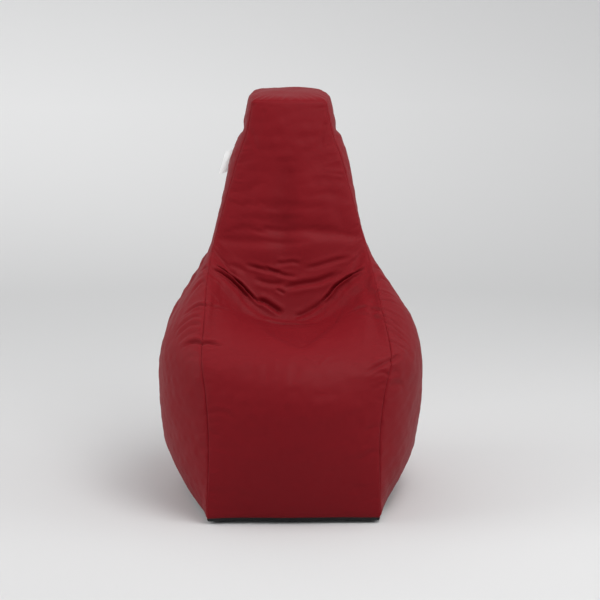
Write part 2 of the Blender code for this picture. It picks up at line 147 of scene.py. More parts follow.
pear = {
    "at": [0.00, 0.05, 0.10, 0.20, 0.30, 0.38, 0.46, 0.54, 0.60, 0.66, 0.74, 0.82, 0.89, 0.94, 1.00],
    "frontMiddle": [
        (0, -0.385, 0.016), (0, -0.399, 0.064), (0, -0.411, 0.115), (0, -0.420, 0.225),
        (0, -0.408, 0.345), (0, -0.355, 0.425), (0, -0.255, 0.458), (0, -0.130, 0.470),
        (0, -0.028, 0.480), (0, 0.020, 0.568), (0, 0.049, 0.700), (0, 0.071, 0.824),
        (0, 0.090, 0.928), (0, 0.104, 1.005), (0, 0.124, 1.102)],
    "frontSeam": [
        (0.233, -0.385, 0.016), (0.231, -0.387, 0.066), (0.230, -0.388, 0.118),
        (0.229, -0.380, 0.240), (0.240, -0.360, 0.355), (0.254, -0.325, 0.430),
        (0.251, -0.250, 0.485), (0.242, -0.155, 0.550), (0.235, -0.050, 0.612),
        (0.222, 0.040, 0.680), (0.198, 0.075, 0.770), (0.175, 0.098, 0.854),
        (0.151, 0.114, 0.938), (0.125, 0.124, 1.012), (0.107, 0.136, 1.102)],
    "sideSeam": [
        (0.300, 0.000, 0.016), (0.329, 0.000, 0.061), (0.352, 0.000, 0.110), (0.369, 0.000, 0.215),
        (0.371, 0.005, 0.305), (0.364, 0.015, 0.385), (0.343, 0.040, 0.460), (0.303, 0.085, 0.522),
        (0.255, 0.130, 0.594), (0.218, 0.175, 0.670), (0.196, 0.205, 0.767), (0.183, 0.225, 0.854),
        (0.169, 0.238, 0.943), (0.143, 0.245, 1.016), (0.120, 0.250, 1.114)],
    "backSeam": [
        (0.233, 0.385, 0.016), (0.232, 0.386, 0.064), (0.231, 0.390, 0.115), (0.232, 0.385, 0.235),
        (0.234, 0.375, 0.345), (0.232, 0.368, 0.430), (0.226, 0.362, 0.510), (0.214, 0.360, 0.585),
        (0.200, 0.360, 0.647), (0.186, 0.360, 0.712), (0.168, 0.360, 0.800), (0.152, 0.360, 0.879),
        (0.136, 0.360, 0.953), (0.118, 0.360, 1.024), (0.102, 0.358, 1.124)],
    "backMiddle": [
        (0, 0.385, 0.016), (0, 0.388, 0.064), (0, 0.408, 0.115), (0, 0.420, 0.235),
        (0, 0.420, 0.350), (0, 0.416, 0.440), (0, 0.411, 0.520), (0, 0.406, 0.600),
        (0, 0.402, 0.662), (0, 0.398, 0.727), (0, 0.393, 0.815), (0, 0.388, 0.894),
        (0, 0.383, 0.968), (0, 0.378, 1.034), (0, 0.368, 1.127)],
    # how far the four side panels belly out between their seams
    "sideCrown": [0.000, 0.012, 0.024, 0.040, 0.044, 0.044, 0.042, 0.035, 0.024, 0.013, 0.008,
                  0.008, 0.008, 0.006, 0.004],
    # how far both front seams stand to the right of a symmetric cut
    "frontShift": [0, 0, 0.001, 0.002, 0.005, 0.009, 0.009, 0.005, 0.002, 0, 0, 0, -0.001, -0.003, -0.004],
    "headSway": 0.005,          # the head leans this far to the right,
    "swayFrom": 0.8,            # from this height on,
    "swayOver": 0.15,           # growing over this much of the height
    "drawnHeight": 1.1413,      # of the chair that these lines are drawn for
    "frontPower": 2.2, "backPower": 2.4, "sidePower": 2.2,      # the higher, the flatter a panel's middle
}
frameScale = (cadHigh.z - cadLow.z) / pear["drawnHeight"]
panelNames = ["front", "frontRight", "backRight", "back", "backLeft", "frontLeft"]
cadNames = {"front": "front", "frontRight": "front_right", "backRight": "back_right", "back": "back",
            "backLeft": "back_left", "frontLeft": "front_left"}


def along(values, v):
    # cubic Hermite pieces through the stations, each slope taken from the neighbouring stations
    t, p = np.array(pear["at"]), np.array(values, float)
    p = p[:, None] if p.ndim == 1 else p
    slope = np.gradient(p, t, axis=0)
    v = np.clip(v, 0, 1)
    i = np.clip(np.searchsorted(t, v, side="right") - 1, 0, len(t) - 2)
    h = (t[i + 1] - t[i])[..., None]
    f = (v - t[i])[..., None] / h
    return (p[i] * (2 * f**3 - 3 * f**2 + 1) + slope[i] * h * (f**3 - 2 * f**2 + f)
            + p[i + 1] * (3 * f**2 - 2 * f**3) + slope[i + 1] * h * (f**3 - f**2))


def seamLine(name, side, v):
    # one corner line up the bag; side is 1 for the right one and -1 for the left
    line = along(pear[name], v) * [side, 1, 1]
    if name == "frontSeam":
        line = line + along(pear["frontShift"], v) * [1, 0, 0]
    sway = np.clip((v - pear["swayFrom"]) / pear["swayOver"], 0, 1)
    return line + pear["headSway"] * sway[..., None] * [1, 0, 0]


def middlePanel(seam, middle, s, v, power):
    # straight across from seam to seam, pushed out to the middle line by 1 - |2s - 1|^power
    left, right = seamLine(seam, -1, v), seamLine(seam, 1, v)
    flat = left + (right - left) * s[..., None]
    push = along(pear[middle], v) - (left + right) / 2
    return flat + push * [0, 1, 1] * (1 - np.abs(2 * s - 1) ** power)[..., None]


def sidePanel(first, second, side, s, v):
    # straight from the first seam to the second, bellied outwards, square to both by the crown
    a, b = seamLine(first, side, v), seamLine(second, side, v)
    chord = b - a
    step = 0.004
    above, below = np.clip(v + step, 0, 1), np.clip(v - step, 0, 1)
    rise = (seamLine(first, side, above) + seamLine(second, side, above)
            - seamLine(first, side, below) - seamLine(second, side, below))
    out = unit(np.cross(chord, rise))
    out = out * np.sign(out[..., :1] * side)
    belly = along(pear["sideCrown"], v) * (1 - np.abs(2 * s - 1) ** pear["sidePower"])[..., None]
    return a + chord * s[..., None] + out * belly


def panelPoints(name, s, v):
    s, v = np.broadcast_arrays(s, v)
    if name == "front":
        points = middlePanel("frontSeam", "frontMiddle", s, v, pear["frontPower"])
    elif name == "back":
        points = middlePanel("backSeam", "backMiddle", 1 - s, v, pear["backPower"])
    else:
        side = 1 if name.endswith("Right") else -1
        turned = s if side > 0 else 1 - s
        seams = ("frontSeam", "sideSeam") if name.startswith("front") else ("sideSeam", "backSeam")
        points = sidePanel(*seams, side, turned, v)
    return points * frameScale


# rows shared by all panels: closer together where the neck folds down on to the seat

coverGrid = {
    "rows": 400, "columns": {"front": 128, "frontRight": 92, "backRight": 84, "back": 96,
                             "backLeft": 84, "frontLeft": 92},
    "edgeSteps": [0.0, 0.0011, 0.0024, 0.0040, 0.0060, 0.0085],     # metres in from each seam
    "foldZone": 0.625, "foldReach": 0.075, "foldDensity": 1.3,      # more rows there by this share
    "allowance": 0.007,         # of cloth turned in behind each seam
}


def rowHeights(count, s):
    # heights that are evenly spaced along the cloth, and closer together round the fold zone
    v = np.linspace(0, 1, 600)
    paths = [panelPoints("front", 0.5, v), panelPoints("front", 0.0, v), panelPoints("frontRight", 0.5, v)]
    speed = sum(np.linalg.norm(np.gradient(p, v, axis=0), axis=1) for p in paths) / len(paths)
    speed = speed * (1 + s["foldDensity"] * np.exp(-((v - s["foldZone"]) / s["foldReach"]) ** 2))
    run = np.concatenate([[0], np.cumsum((speed[1:] + speed[:-1]) / 2 * np.diff(v))])
    return np.interp(np.linspace(0, run[-1], count), run, v)


def panelWidths(name, v):
    # the length across the panel at each height, as a sum of short chords
    s = np.linspace(0, 1, 25)
    return np.linalg.norm(np.diff(panelPoints(name, s[None, :], v[:, None]), axis=1), axis=2).sum(axis=1)


def panelGrid(name, rows, columns, steps):
    # columns stand at fixed distances from both seams and are spread evenly in between
    width = panelWidths(name, rows)[:, None]
    edge = np.array(steps)[None, :] / width
    inner = np.linspace(0, 1, columns - 2 * len(steps) + 2)[None, 1:-1]
    inner = edge[:, -1:] + (1 - 2 * edge[:, -1:]) * inner
    s = np.concatenate([edge, inner, 1 - edge[:, ::-1]], axis=1)
    v = np.broadcast_to(rows[:, None], s.shape)
    across = s * width
    points = panelPoints(name, s, v)
    run = np.linalg.norm(np.diff(points, axis=0), axis=2).mean(axis=1)
    up = np.broadcast_to(np.concatenate([[0], np.cumsum(run)])[:, None], s.shape)
    fromSeam = np.minimum(across, width - across)
    return {"name": name, "s": s, "points": points, "normals": gridNormals(points),
            "across": across, "up": up, "fromSeam": fromSeam, "width": width}


# folds: each is a path in panel shares (across, up), then in millimetres its width, its depth, and how
# far the cloth swells above and below it; a negative depth makes a ridge

folds = {
    "front": [
        # the two deep folds where the neck sits down on the seat, one of them double
        ([(0.03, 0.640), (0.07, 0.642), (0.12, 0.645), (0.18, 0.645), (0.24, 0.639),
          (0.31, 0.629)], 3.4, 13, 2, 7),
        ([(0.02, 0.629), (0.07, 0.632), (0.12, 0.635), (0.18, 0.636), (0.24, 0.630)], 3.2, 8, 2, 5),
        ([(0.29, 0.633), (0.34, 0.634), (0.40, 0.627), (0.45, 0.619)], 6.5, 9, 2, 4),
        ([(0.97, 0.631), (0.91, 0.640), (0.85, 0.645), (0.79, 0.644), (0.74, 0.636),
          (0.69, 0.629)], 3.6, 13, 2, 8),
        ([(0.71, 0.631), (0.65, 0.624), (0.58, 0.617), (0.52, 0.613)], 7, 5, 1, 4),
        # the roll of cloth below them, and the softer fold under it
        ([(0.05, 0.618), (0.14, 0.617), (0.24, 0.607), (0.34, 0.597), (0.44, 0.593)], 13, -5, 0, 0),
        ([(0.95, 0.617), (0.86, 0.618), (0.76, 0.608), (0.66, 0.598), (0.56, 0.593)], 13, -5, 0, 0),
        ([(0.27, 0.594), (0.35, 0.542), (0.40, 0.507), (0.46, 0.476), (0.53, 0.452), (0.57, 0.474),
          (0.64, 0.514), (0.70, 0.545), (0.78, 0.580)], 17, 5.5, 0, 1.5),
        ([(0.38, 0.550), (0.47, 0.515), (0.53, 0.490), (0.60, 0.525), (0.68, 0.560)], 24, 6, 0, 0),
        ([(0.34, 0.590), (0.43, 0.590), (0.52, 0.588), (0.60, 0.582)], 6, 5, 2.5, 1.5),
        # ripples low on the neck
        ([(0.20, 0.683), (0.27, 0.687), (0.34, 0.688), (0.40, 0.688), (0.47, 0.684),
          (0.56, 0.681)], 5, 4.0, 1.5, 2),
        ([(0.33, 0.694), (0.39, 0.690), (0.44, 0.689)], 3.4, 3, 1, 1),
        ([(0.40, 0.703), (0.46, 0.704), (0.52, 0.706), (0.58, 0.702)], 5, 3, 1.5, 1),
        ([(0.60, 0.694), (0.67, 0.693), (0.74, 0.692), (0.82, 0.687), (0.91, 0.675)], 6, 3, 1.5, 1.5),
        ([(0.46, 0.663), (0.53, 0.666), (0.60, 0.668), (0.68, 0.666), (0.76, 0.665),
          (0.84, 0.660)], 8, 5, 2.5, 2.5),
        ([(0.27, 0.667), (0.34, 0.667), (0.40, 0.668), (0.47, 0.670)], 7, 3.5, 1.5, 1.5),
        ([(0.41, 0.659), (0.44, 0.656), (0.47, 0.652)], 4, 3, 1, 1),
        ([(0.10, 0.664), (0.16, 0.670), (0.22, 0.672)], 7, 2, 1, 1),
        # pulls that run into the side seams over the seat
        ([(0.00, 0.545), (0.06, 0.554), (0.12, 0.566), (0.18, 0.574)], 5, 3.5, 1.5, 1.5),
        ([(0.00, 0.440), (0.03, 0.446), (0.07, 0.443), (0.11, 0.434)], 5.5, 8, 3, 2),
        ([(0.01, 0.425), (0.05, 0.424), (0.09, 0.429)], 4, -2, 0, 0),
        ([(1.00, 0.384), (0.95, 0.374), (0.90, 0.360), (0.86, 0.348)], 6, 4, 1.5, 1.5),
        ([(1.00, 0.340), (0.96, 0.352), (0.92, 0.348), (0.90, 0.330)], 5, 1.8, 1, 1),
        ([(0.99, 0.322), (0.95, 0.314), (0.91, 0.312)], 5, 1.2, 0.6, 0.6),
        ([(1.00, 0.530), (0.94, 0.550), (0.87, 0.564), (0.81, 0.566)], 6, 3, 1.5, 1.5),
        ([(1.00, 0.505), (0.93, 0.530), (0.86, 0.545)], 6, 2, 1, 1),
        # the small three-cornered pucker on the lip, and slack lower down
        ([(0.48, 0.415), (0.54, 0.408), (0.59, 0.390), (0.61, 0.374)], 4, -1.6, 0, 0),
        ([(0.61, 0.374), (0.64, 0.392), (0.68, 0.412)], 4, -1.6, 0, 0),
        ([(0.53, 0.411), (0.60, 0.412), (0.67, 0.413)], 4, -1.2, 0, 0),
        ([(0.00, 0.250), (0.08, 0.262), (0.18, 0.250)], 7, 1.4, 0.6, 0.6),
        ([(1.00, 0.225), (0.93, 0.222), (0.86, 0.205)], 7, 1.6, 0.6, 0.6),
        ([(1.00, 0.165), (0.94, 0.168), (0.86, 0.150)], 7, 1.4, 0.6, 0.6),
        # long soft hollows up the neck
        ([(0.47, 0.700), (0.45, 0.760), (0.46, 0.830), (0.50, 0.900)], 30, 6.0, 2.0, 3.0),
        ([(0.90, 0.720), (0.88, 0.780), (0.86, 0.840)], 18, 1.6, 0.8, 0.8),
        ([(0.16, 0.730), (0.15, 0.790), (0.20, 0.850)], 20, 1.8, 0.8, 0.8),
        # the neck's top corners
        ([(0.98, 0.965), (0.90, 0.945), (0.82, 0.915)], 6, 1.8, 0.8, 0.8),
        ([(0.02, 0.950), (0.10, 0.930), (0.20, 0.905)], 7, 1.4, 0.6, 0.6),
        ([(0.00, 0.991), (0.03, 0.992), (0.07, 0.994)], 3, 5, 0, 0),
    ],
    "frontLeft": [
        # the shoulder, where the neck begins
        ([(0.00, 0.608), (0.12, 0.602), (0.28, 0.596)], 9, 8, 1, 4),
        # pleats that run down from the seam over the hip
        ([(1.00, 0.545), (0.90, 0.538), (0.78, 0.520), (0.66, 0.492)], 5, 5, 2, 2),
        ([(1.00, 0.440), (0.94, 0.438), (0.86, 0.426), (0.76, 0.403)], 6, 8, 3, 2),
        ([(0.97, 0.515), (0.86, 0.503), (0.74, 0.478), (0.62, 0.445)], 6, 2.5, 1.5, 1.5),
        ([(0.97, 0.492), (0.87, 0.482), (0.76, 0.458), (0.66, 0.428)], 6, 2.2, 1.5, 1.5),
        ([(0.97, 0.468), (0.89, 0.460), (0.80, 0.440), (0.71, 0.413)], 6, 2.0, 1.2, 1.2),
        ([(1.00, 0.590), (0.88, 0.590), (0.74, 0.570), (0.60, 0.540)], 7, 3, 1.5, 1.5),
        ([(1.00, 0.615), (0.86, 0.620), (0.70, 0.605)], 6, 3, 1.5, 1.5),
        ([(1.00, 0.400), (0.90, 0.392), (0.80, 0.372)], 8, 1.5, 0.8, 0.8),
        # the waist of the head
        ([(0.00, 0.941), (0.30, 0.943), (0.60, 0.945), (0.90, 0.947)], 14, 7, 0, 0.5),
    ],
    "frontRight": [
        ([(1.00, 0.608), (0.88, 0.602), (0.72, 0.596)], 9, 7, 1, 4),
        # pleats that run down from the seam over the hip
        ([(0.00, 0.575), (0.08, 0.568), (0.21, 0.555), (0.38, 0.531)], 3.6, 2.2, 1.3, 1.3),
        ([(0.00, 0.556), (0.10, 0.547), (0.25, 0.531), (0.42, 0.506)], 3.4, 2.0, 1.2, 1.2),
        ([(0.00, 0.535), (0.10, 0.520), (0.25, 0.492), (0.38, 0.462)], 3.6, 2.4, 1.3, 1.3),
        ([(0.00, 0.518), (0.09, 0.499), (0.20, 0.468), (0.32, 0.438)], 3.4, 2.2, 1.3, 1.3),
        ([(0.00, 0.500), (0.08, 0.481), (0.19, 0.447), (0.31, 0.417)], 3.6, 2.4, 1.3, 1.3),
        ([(0.00, 0.481), (0.08, 0.462), (0.18, 0.432), (0.28, 0.406)], 3.4, 2.2, 1.3, 1.3),
        ([(0.00, 0.445), (0.07, 0.430), (0.15, 0.411), (0.25, 0.392)], 4.0, 2.4, 1.3, 1.3),
        # a pull where the lip meets the seam, and soft slack higher and lower
        ([(0.00, 0.383), (0.05, 0.388), (0.10, 0.392)], 6, 5, 2, 2),
        ([(0.00, 0.345), (0.06, 0.350), (0.12, 0.342)], 6, 1.6, 0.8, 0.8),
        ([(0.00, 0.590), (0.16, 0.594), (0.34, 0.580), (0.50, 0.556)], 6, 3, 1.5, 1.5),
        ([(0.00, 0.613), (0.16, 0.618), (0.34, 0.606)], 6, 3, 1.5, 1.5),
        ([(0.02, 0.315), (0.12, 0.318), (0.20, 0.308)], 7, 1.6, 0.8, 0.8),
        # the waist of the head
        ([(1.00, 0.941), (0.70, 0.943), (0.40, 0.945), (0.10, 0.947)], 14, 7, 0, 0.5),
    ],
    "backLeft": [
        ([(1.00, 0.560), (0.82, 0.575), (0.60, 0.580), (0.42, 0.575)], 8, 4, 2, 2),
        ([(1.00, 0.608), (0.80, 0.622), (0.58, 0.622), (0.36, 0.612)], 9, 8, 1, 4),
        ([(0.00, 0.640), (0.16, 0.634), (0.34, 0.632)], 7, 3, 1.5, 1.5),
        ([(0.92, 0.500), (0.74, 0.512), (0.56, 0.510)], 8, 2.5, 1.5, 1.5),
        ([(1.00, 0.941), (0.80, 0.939), (0.55, 0.940), (0.30, 0.942)], 14, 7, 0, 0.5),
    ],
    "backRight": [
        ([(0.00, 0.565), (0.18, 0.578), (0.40, 0.584), (0.60, 0.576)], 8, 4, 2, 2),
        ([(0.00, 0.608), (0.20, 0.622), (0.44, 0.626), (0.66, 0.614)], 9, 7, 1, 4),
        ([(1.00, 0.635), (0.84, 0.630), (0.68, 0.632)], 7, 3, 1.5, 1.5),
        ([(0.08, 0.505), (0.26, 0.514), (0.44, 0.510)], 8, 2.5, 1.5, 1.5),
        ([(0.00, 0.941), (0.20, 0.939), (0.45, 0.940), (0.70, 0.942)], 14, 7, 0, 0.5),
    ],
    "back": [
        ([(0.02, 0.610), (0.20, 0.600), (0.40, 0.604), (0.58, 0.612)], 9, 4, 2, 2),
        ([(0.98, 0.630), (0.82, 0.622), (0.64, 0.628), (0.48, 0.640)], 8, 3.5, 1.5, 1.5),
        ([(0.10, 0.560), (0.34, 0.552), (0.60, 0.560), (0.84, 0.556)], 12, 3, 1.5, 1.5),
        ([(0.30, 0.668), (0.48, 0.662), (0.66, 0.670)], 8, 2.5, 1.2, 1.2),
        ([(0.20, 0.935), (0.45, 0.925), (0.75, 0.938)], 7, 2, 1, 1),
    ],
}


def catmullRom(a, b, c, d, f):
    # from b at f = 0 to c at f = 1, with the slopes that a and d give
    return 0.5 * (2 * b + (c - a) * f + (2 * a - 5 * b + 4 * c - d) * f**2 + (3 * b - a - 3 * c + d) * f**3)


def smoothPath(points, count):
    # Catmull-Rom through the points, with one more point past each end, straight on
    p = np.array(points, float)
    p = np.concatenate([2 * p[:1] - p[1:2], p, 2 * p[-1:] - p[-2:-1]])
    t = np.linspace(0, len(p) - 3 - 1e-9, count)
    i = t.astype(int)
    f = (t - i)[:, None]
    return catmullRom(p[i], p[i + 1], p[i + 2], p[i + 3], f)


foldForm = {"samples": 48, "reach": 4.5, "swellAt": 2.1, "swellWidth": 1.2, "endFade": 5,
            "fadePower": 0.75, "seamStart": 0.01, "seamFade": 2.2}


def pressFold(grid, push, fold, f):
    # groove: -depth * exp(-x^2), with a swell on each side centred about two widths out, x being the
    # distance from the path in widths; everything fades towards the path's two ends
    path, width, depth, above, below = fold
    width, depth, above, below = (k * millimetre for k in (width, depth, above, below))
    share = smoothPath(path, f["samples"])
    line = panelPoints(grid["name"], np.clip(share[:, 0], 0, 1), share[:, 1])
    reach = f["reach"] * width
    points = grid["points"]
    near = np.all((points > line.min(0) - reach) & (points < line.max(0) + reach), axis=-1)
    if not near.any():
        return
    here = points[near]
    gap = here[:, None, :] - line[None]
    squared = (gap**2).sum(-1)
    nearest = squared.argmin(1)
    tangent = unit(np.gradient(line, axis=0))[nearest]
    side = np.cross(tangent, grid["normals"][near])
    side = side * np.sign(side[:, 2:3] + 1e-9)
    offset = (gap[np.arange(len(here)), nearest] * side).sum(-1)
    x = np.sign(offset) * np.sqrt(squared.min(1)) / width
    t = nearest / (len(line) - 1)
    if np.minimum(share[0, 0], 1 - share[0, 0]) < f["seamStart"]:       # deep where it starts at a seam
        fade = np.clip((1 - t) * f["seamFade"], 0, 1)
    else:
        fade = np.clip(np.minimum(t, 1 - t) * f["endFade"], 0, 1) ** f["fadePower"]
    swells = [size * np.exp(-((x + place) / f["swellWidth"]) ** 2)
              for size, place in ((above, -f["swellAt"]), (below, f["swellAt"]))]
    push[near] += (-depth * np.exp(-x**2) + swells[0] + swells[1]) * fade


def softNoise(points, wavelength, terms, seed):
    # a sum of sine waves that run in random directions, about one in height
    dice = np.random.default_rng(seed)
    total = np.zeros(points.shape[:-1])
    for _ in range(terms):
        direction = unit(dice.normal(size=3)) / (wavelength * dice.uniform(0.75, 1.6))
        total += np.sin(points @ direction * 2 * math.pi + dice.uniform(0, 2 * math.pi))
    return total / math.sqrt(terms)


seamDetail = {
    "sink": 0.0040, "sinkReach": 0.0030,        # the seam lies in a groove this deep
    "stitchShade": 0.0022, "stitchReach": 0.0016,       # and the line itself is painted darker, as shade in its groove
    "turnReach": 0.007,         # over which the panels turn to the direction that they share there
    "joinReach": 0.012,         # over which their heights become one
    "puckersPerMetre": 62, "puckerReach": (0.006, 0.020), "puckerWidth": (0.0022, 0.0052),
    "puckerHeight": (0.0003, 0.0011),
}


def seamPuckers(grid, side, d, seed):
    # short ripples that run away from the stitching: each rises and falls along the seam, and
    # out from it as x * exp(1 - x)
    dice = np.random.default_rng(seed)
    out = grid["across"] if side == 0 else grid["width"] - grid["across"]
    up = grid["up"]
    total = np.zeros(up.shape)
    count = int(up.max() * d["puckersPerMetre"])
    for _ in range(count):
        centre, lean = dice.uniform(0, up.max()), dice.uniform(-0.5, 0.5)
        reach, width = dice.uniform(*d["puckerReach"]), dice.uniform(*d["puckerWidth"])
        height = dice.uniform(*d["puckerHeight"]) * dice.choice([-1, 1], p=[0.6, 0.4])
        rows = np.abs(up[:, 0] - centre) < 4 * width + 0.03
        x = out[rows] / reach
        beside = (up[rows] - centre - lean * out[rows]) / width
        total[rows] += height * x * np.exp(1 - x) * np.exp(-beside**2)
    return total


# materials

def addNode(tree, kind, **settings):
    node = tree.nodes.new(kind)
    for key, value in settings.items():
        setattr(node, key, value)
    return node


def mathNode(tree, operation, first, second=None, third=None):
    node = addNode(tree, "ShaderNodeMath", operation=operation)
    for socket, value in zip(node.inputs, (first, second, third)):
        if value is None:
            continue
        if isinstance(value, (int, float)):
            socket.default_value = value
        else:
            tree.links.new(value, socket)
    return node.outputs[0]


def newGroup(name, inputs, outputs):
    tree = bpy.data.node_groups.new(name, "ShaderNodeTree")
    for label, kind, value in inputs:
        socket = tree.interface.new_socket(name=label, in_out="INPUT", socket_type=kind)
        if value is not None:
            socket.default_value = value
    for label, kind in outputs:
        tree.interface.new_socket(name=label, in_out="OUTPUT", socket_type=kind)
    return tree, addNode(tree, "NodeGroupInput").outputs, addNode(tree, "NodeGroupOutput").inputs


def makeWeaveGroup():
    # plain weave: threads |sin u| and |sin v|, each on top where sin u * sin v has its sign
    tree, given, out = newGroup("plainWeave", [("Place", "NodeSocketVector", None),
                                               ("Thread", "NodeSocketFloat", 0.001)],
                                [("Height", "NodeSocketFloat"), ("Gap", "NodeSocketFloat")])
    split = addNode(tree, "ShaderNodeSeparateXYZ")
    tree.links.new(given["Place"], split.inputs[0])
    waves = []
    for axis in ("X", "Y"):
        turns = mathNode(tree, "DIVIDE", split.outputs[axis], given["Thread"])
        waves.append(mathNode(tree, "SINE", mathNode(tree, "MULTIPLY", turns, math.pi)))
    order = mathNode(tree, "MULTIPLY", waves[0], waves[1])
    threads = []
    for wave, sign in ((waves[0], 0.45), (waves[1], -0.45)):
        top = mathNode(tree, "MULTIPLY_ADD", order, sign, 0.55)
        threads.append(mathNode(tree, "MULTIPLY", mathNode(tree, "ABSOLUTE", wave), top))
    height = mathNode(tree, "MAXIMUM", threads[0], threads[1])
    tree.links.new(height, out["Height"])
    # the gap: how far below both threads a point lies, which the cloth materials paint as shade
    gap = mathNode(tree, "SUBTRACT", 0.45, height)
    tree.links.new(mathNode(tree, "MAXIMUM", gap, 0.0), out["Gap"])
    return tree


def makeToneGroup():
    # slow cloudiness over the cloth and a finer mottle, both about zero
    tree, given, out = newGroup("clothTone", [("Cloud size", "NodeSocketFloat", 0.3),
                                              ("Mottle size", "NodeSocketFloat", 0.012)],
                                [("Cloud", "NodeSocketFloat"), ("Mottle", "NodeSocketFloat")])
    place = addNode(tree, "ShaderNodeTexCoord").outputs["Object"]
    for label, size in (("Cloud", "Cloud size"), ("Mottle", "Mottle size")):
        noise = addNode(tree, "ShaderNodeTexNoise")
        noise.inputs["Detail"].default_value = 3
        tree.links.new(place, noise.inputs["Vector"])
        tree.links.new(mathNode(tree, "DIVIDE", 1.0, given[size]), noise.inputs["Scale"])
        tree.links.new(mathNode(tree, "SUBTRACT", noise.outputs["Fac"], 0.5), out[label])
    return tree


weaveGroup = makeWeaveGroup()
toneGroup = makeToneGroup()


def useGroup(tree, group, **values):
    node = addNode(tree, "ShaderNodeGroup", node_tree=group)
    for key, value in values.items():
        node.inputs[key.replace("_", " ")].default_value = value
    return node


def newMaterial(name):
    material = bpy.data.materials.new(name)
    material.use_nodes = True
    return material, material.node_tree, material.node_tree.nodes["Principled BSDF"]


def colourBetween(tree, shader, dark, light, level):
    # the base colour: dark at level 0 and light at level 1
    blend = addNode(tree, "ShaderNodeMix", data_type="RGBA")
    blend.inputs["A"].default_value = (*dark, 1)
    blend.inputs["B"].default_value = (*light, 1)
    tree.links.new(level, blend.inputs["Factor"])
    tree.links.new(blend.outputs["Result"], shader.inputs["Base Color"])


def bumpFrom(tree, shader, height, strength, distance):
    bump = addNode(tree, "ShaderNodeBump")
    bump.inputs["Strength"].default_value = strength
    bump.inputs["Distance"].default_value = distance
    tree.links.new(height, bump.inputs["Height"])
    tree.links.new(bump.outputs[0], shader.inputs["Normal"])


# sizes in metres; roughSwing is how much the mottle changes the roughness, crumple how much it adds to the
# weave's bump, and creaseShade how much painted shade darkens a fold with each metre of its depth, and by
# as much paints its swells paler as painted light
plainCloth = {"cloudSize": 0.3, "mottleSize": 0.012, "roughSwing": 0.12, "crumple": 0.6, "creaseShade": 0.0,
              "sheen": 0.0, "sheenRoughness": 0.4, "sheenTint": (1, 1, 1), "specular": 0.5}


def makeClothMaterial(name, own):
    c = dict(plainCloth, **own)
    material, tree, shader = newMaterial(name)
    place = addNode(tree, "ShaderNodeUVMap", uv_map="cloth")
    weave = useGroup(tree, weaveGroup, Thread=c["thread"])
    tree.links.new(place.outputs[0], weave.inputs["Place"])
    tone = useGroup(tree, toneGroup, Cloud_size=c["cloudSize"], Mottle_size=c["mottleSize"])
    mottle = tone.outputs["Mottle"]
    crease = addNode(tree, "ShaderNodeAttribute", attribute_name="crease").outputs["Fac"]
    # the colour: painted shade between the threads and in the folds, painted light (paler) on the ridges
    # and swells beside the folds, and darker in the random dark patches
    shade = mathNode(tree, "MULTIPLY", tone.outputs["Cloud"], c["cloud"])
    shade = mathNode(tree, "MULTIPLY_ADD", mottle, c["mottle"], shade)
    # painted shade between the threads
    shade = mathNode(tree, "MULTIPLY_ADD", weave.outputs["Gap"], -c["gap"], shade)
    # painted shade in the folds and painted light on their swells, from the fold depth in the crease
    # attribute
    shade = mathNode(tree, "MULTIPLY_ADD", crease, c["creaseShade"], shade)
    colourBetween(tree, shader, c["dark"], c["light"], mathNode(tree, "ADD", shade, 0.5))
    rough = mathNode(tree, "MULTIPLY_ADD", mottle, c["roughSwing"], c["roughness"])
    tree.links.new(rough, shader.inputs["Roughness"])
    height = mathNode(tree, "MULTIPLY_ADD", mottle, c["crumple"], weave.outputs["Height"])
    bumpFrom(tree, shader, height, c["bump"], c["thread"] * 0.25)
    shader.inputs["Sheen Weight"].default_value = c["sheen"]
    shader.inputs["Sheen Roughness"].default_value = c["sheenRoughness"]
    shader.inputs["Sheen Tint"].default_value = (*c["sheenTint"], 1)
    shader.inputs["Specular IOR Level"].default_value = c["specular"]
    return material


coverCloth = makeClothMaterial("coverCloth", {
    "dark": (0.148, 0.0026, 0.0062), "light": (0.242, 0.0072, 0.0128), "roughness": 0.58,
    "thread": 0.0009, "cloud": 0.20, "mottle": 0.20, "gap": 0.45, "creaseShade": 25.0, "bump": 0.22,
    "sheen": 0.015, "sheenRoughness": 0.40, "sheenTint": (1.0, 0.50, 0.58), "specular": 0.12})
baseCloth = makeClothMaterial("baseCloth", {
    "dark": (0.006, 0.006, 0.007), "light": (0.022, 0.022, 0.023), "roughness": 0.72, "thread": 0.0012,
    "cloud": 0.3, "mottle": 0.4, "gap": 0.5, "bump": 0.35, "sheen": 0.1, "specular": 0.3})
linerCloth = makeClothMaterial("linerCloth", {
    "dark": (0.50, 0.50, 0.48), "light": (0.74, 0.74, 0.72), "roughness": 0.75, "thread": 0.0010,
    "cloud": 0.2, "mottle": 0.5, "gap": 0.3, "bump": 0.3})
labelCloth = makeClothMaterial("labelCloth", {
    "dark": (0.78, 0.78, 0.78), "light": (0.92, 0.92, 0.91), "roughness": 0.55, "thread": 0.0005,
    "cloud": 0.15, "mottle": 0.3, "gap": 0.4, "bump": 0.4, "sheen": 0.2})
tapeCloth = makeClothMaterial("tapeCloth", {
    "dark": (0.004, 0.004, 0.005), "light": (0.020, 0.020, 0.022), "roughness": 0.8, "thread": 0.0006,
    "cloud": 0.2, "mottle": 0.4, "gap": 0.6, "bump": 0.5, "sheen": 0.15, "specular": 0.3})
linerTape = makeClothMaterial("linerTape", {
    "dark": (0.42, 0.42, 0.41), "light": (0.68, 0.68, 0.66), "roughness": 0.8, "thread": 0.0006,
    "cloud": 0.2, "mottle": 0.4, "gap": 0.6, "bump": 0.5})


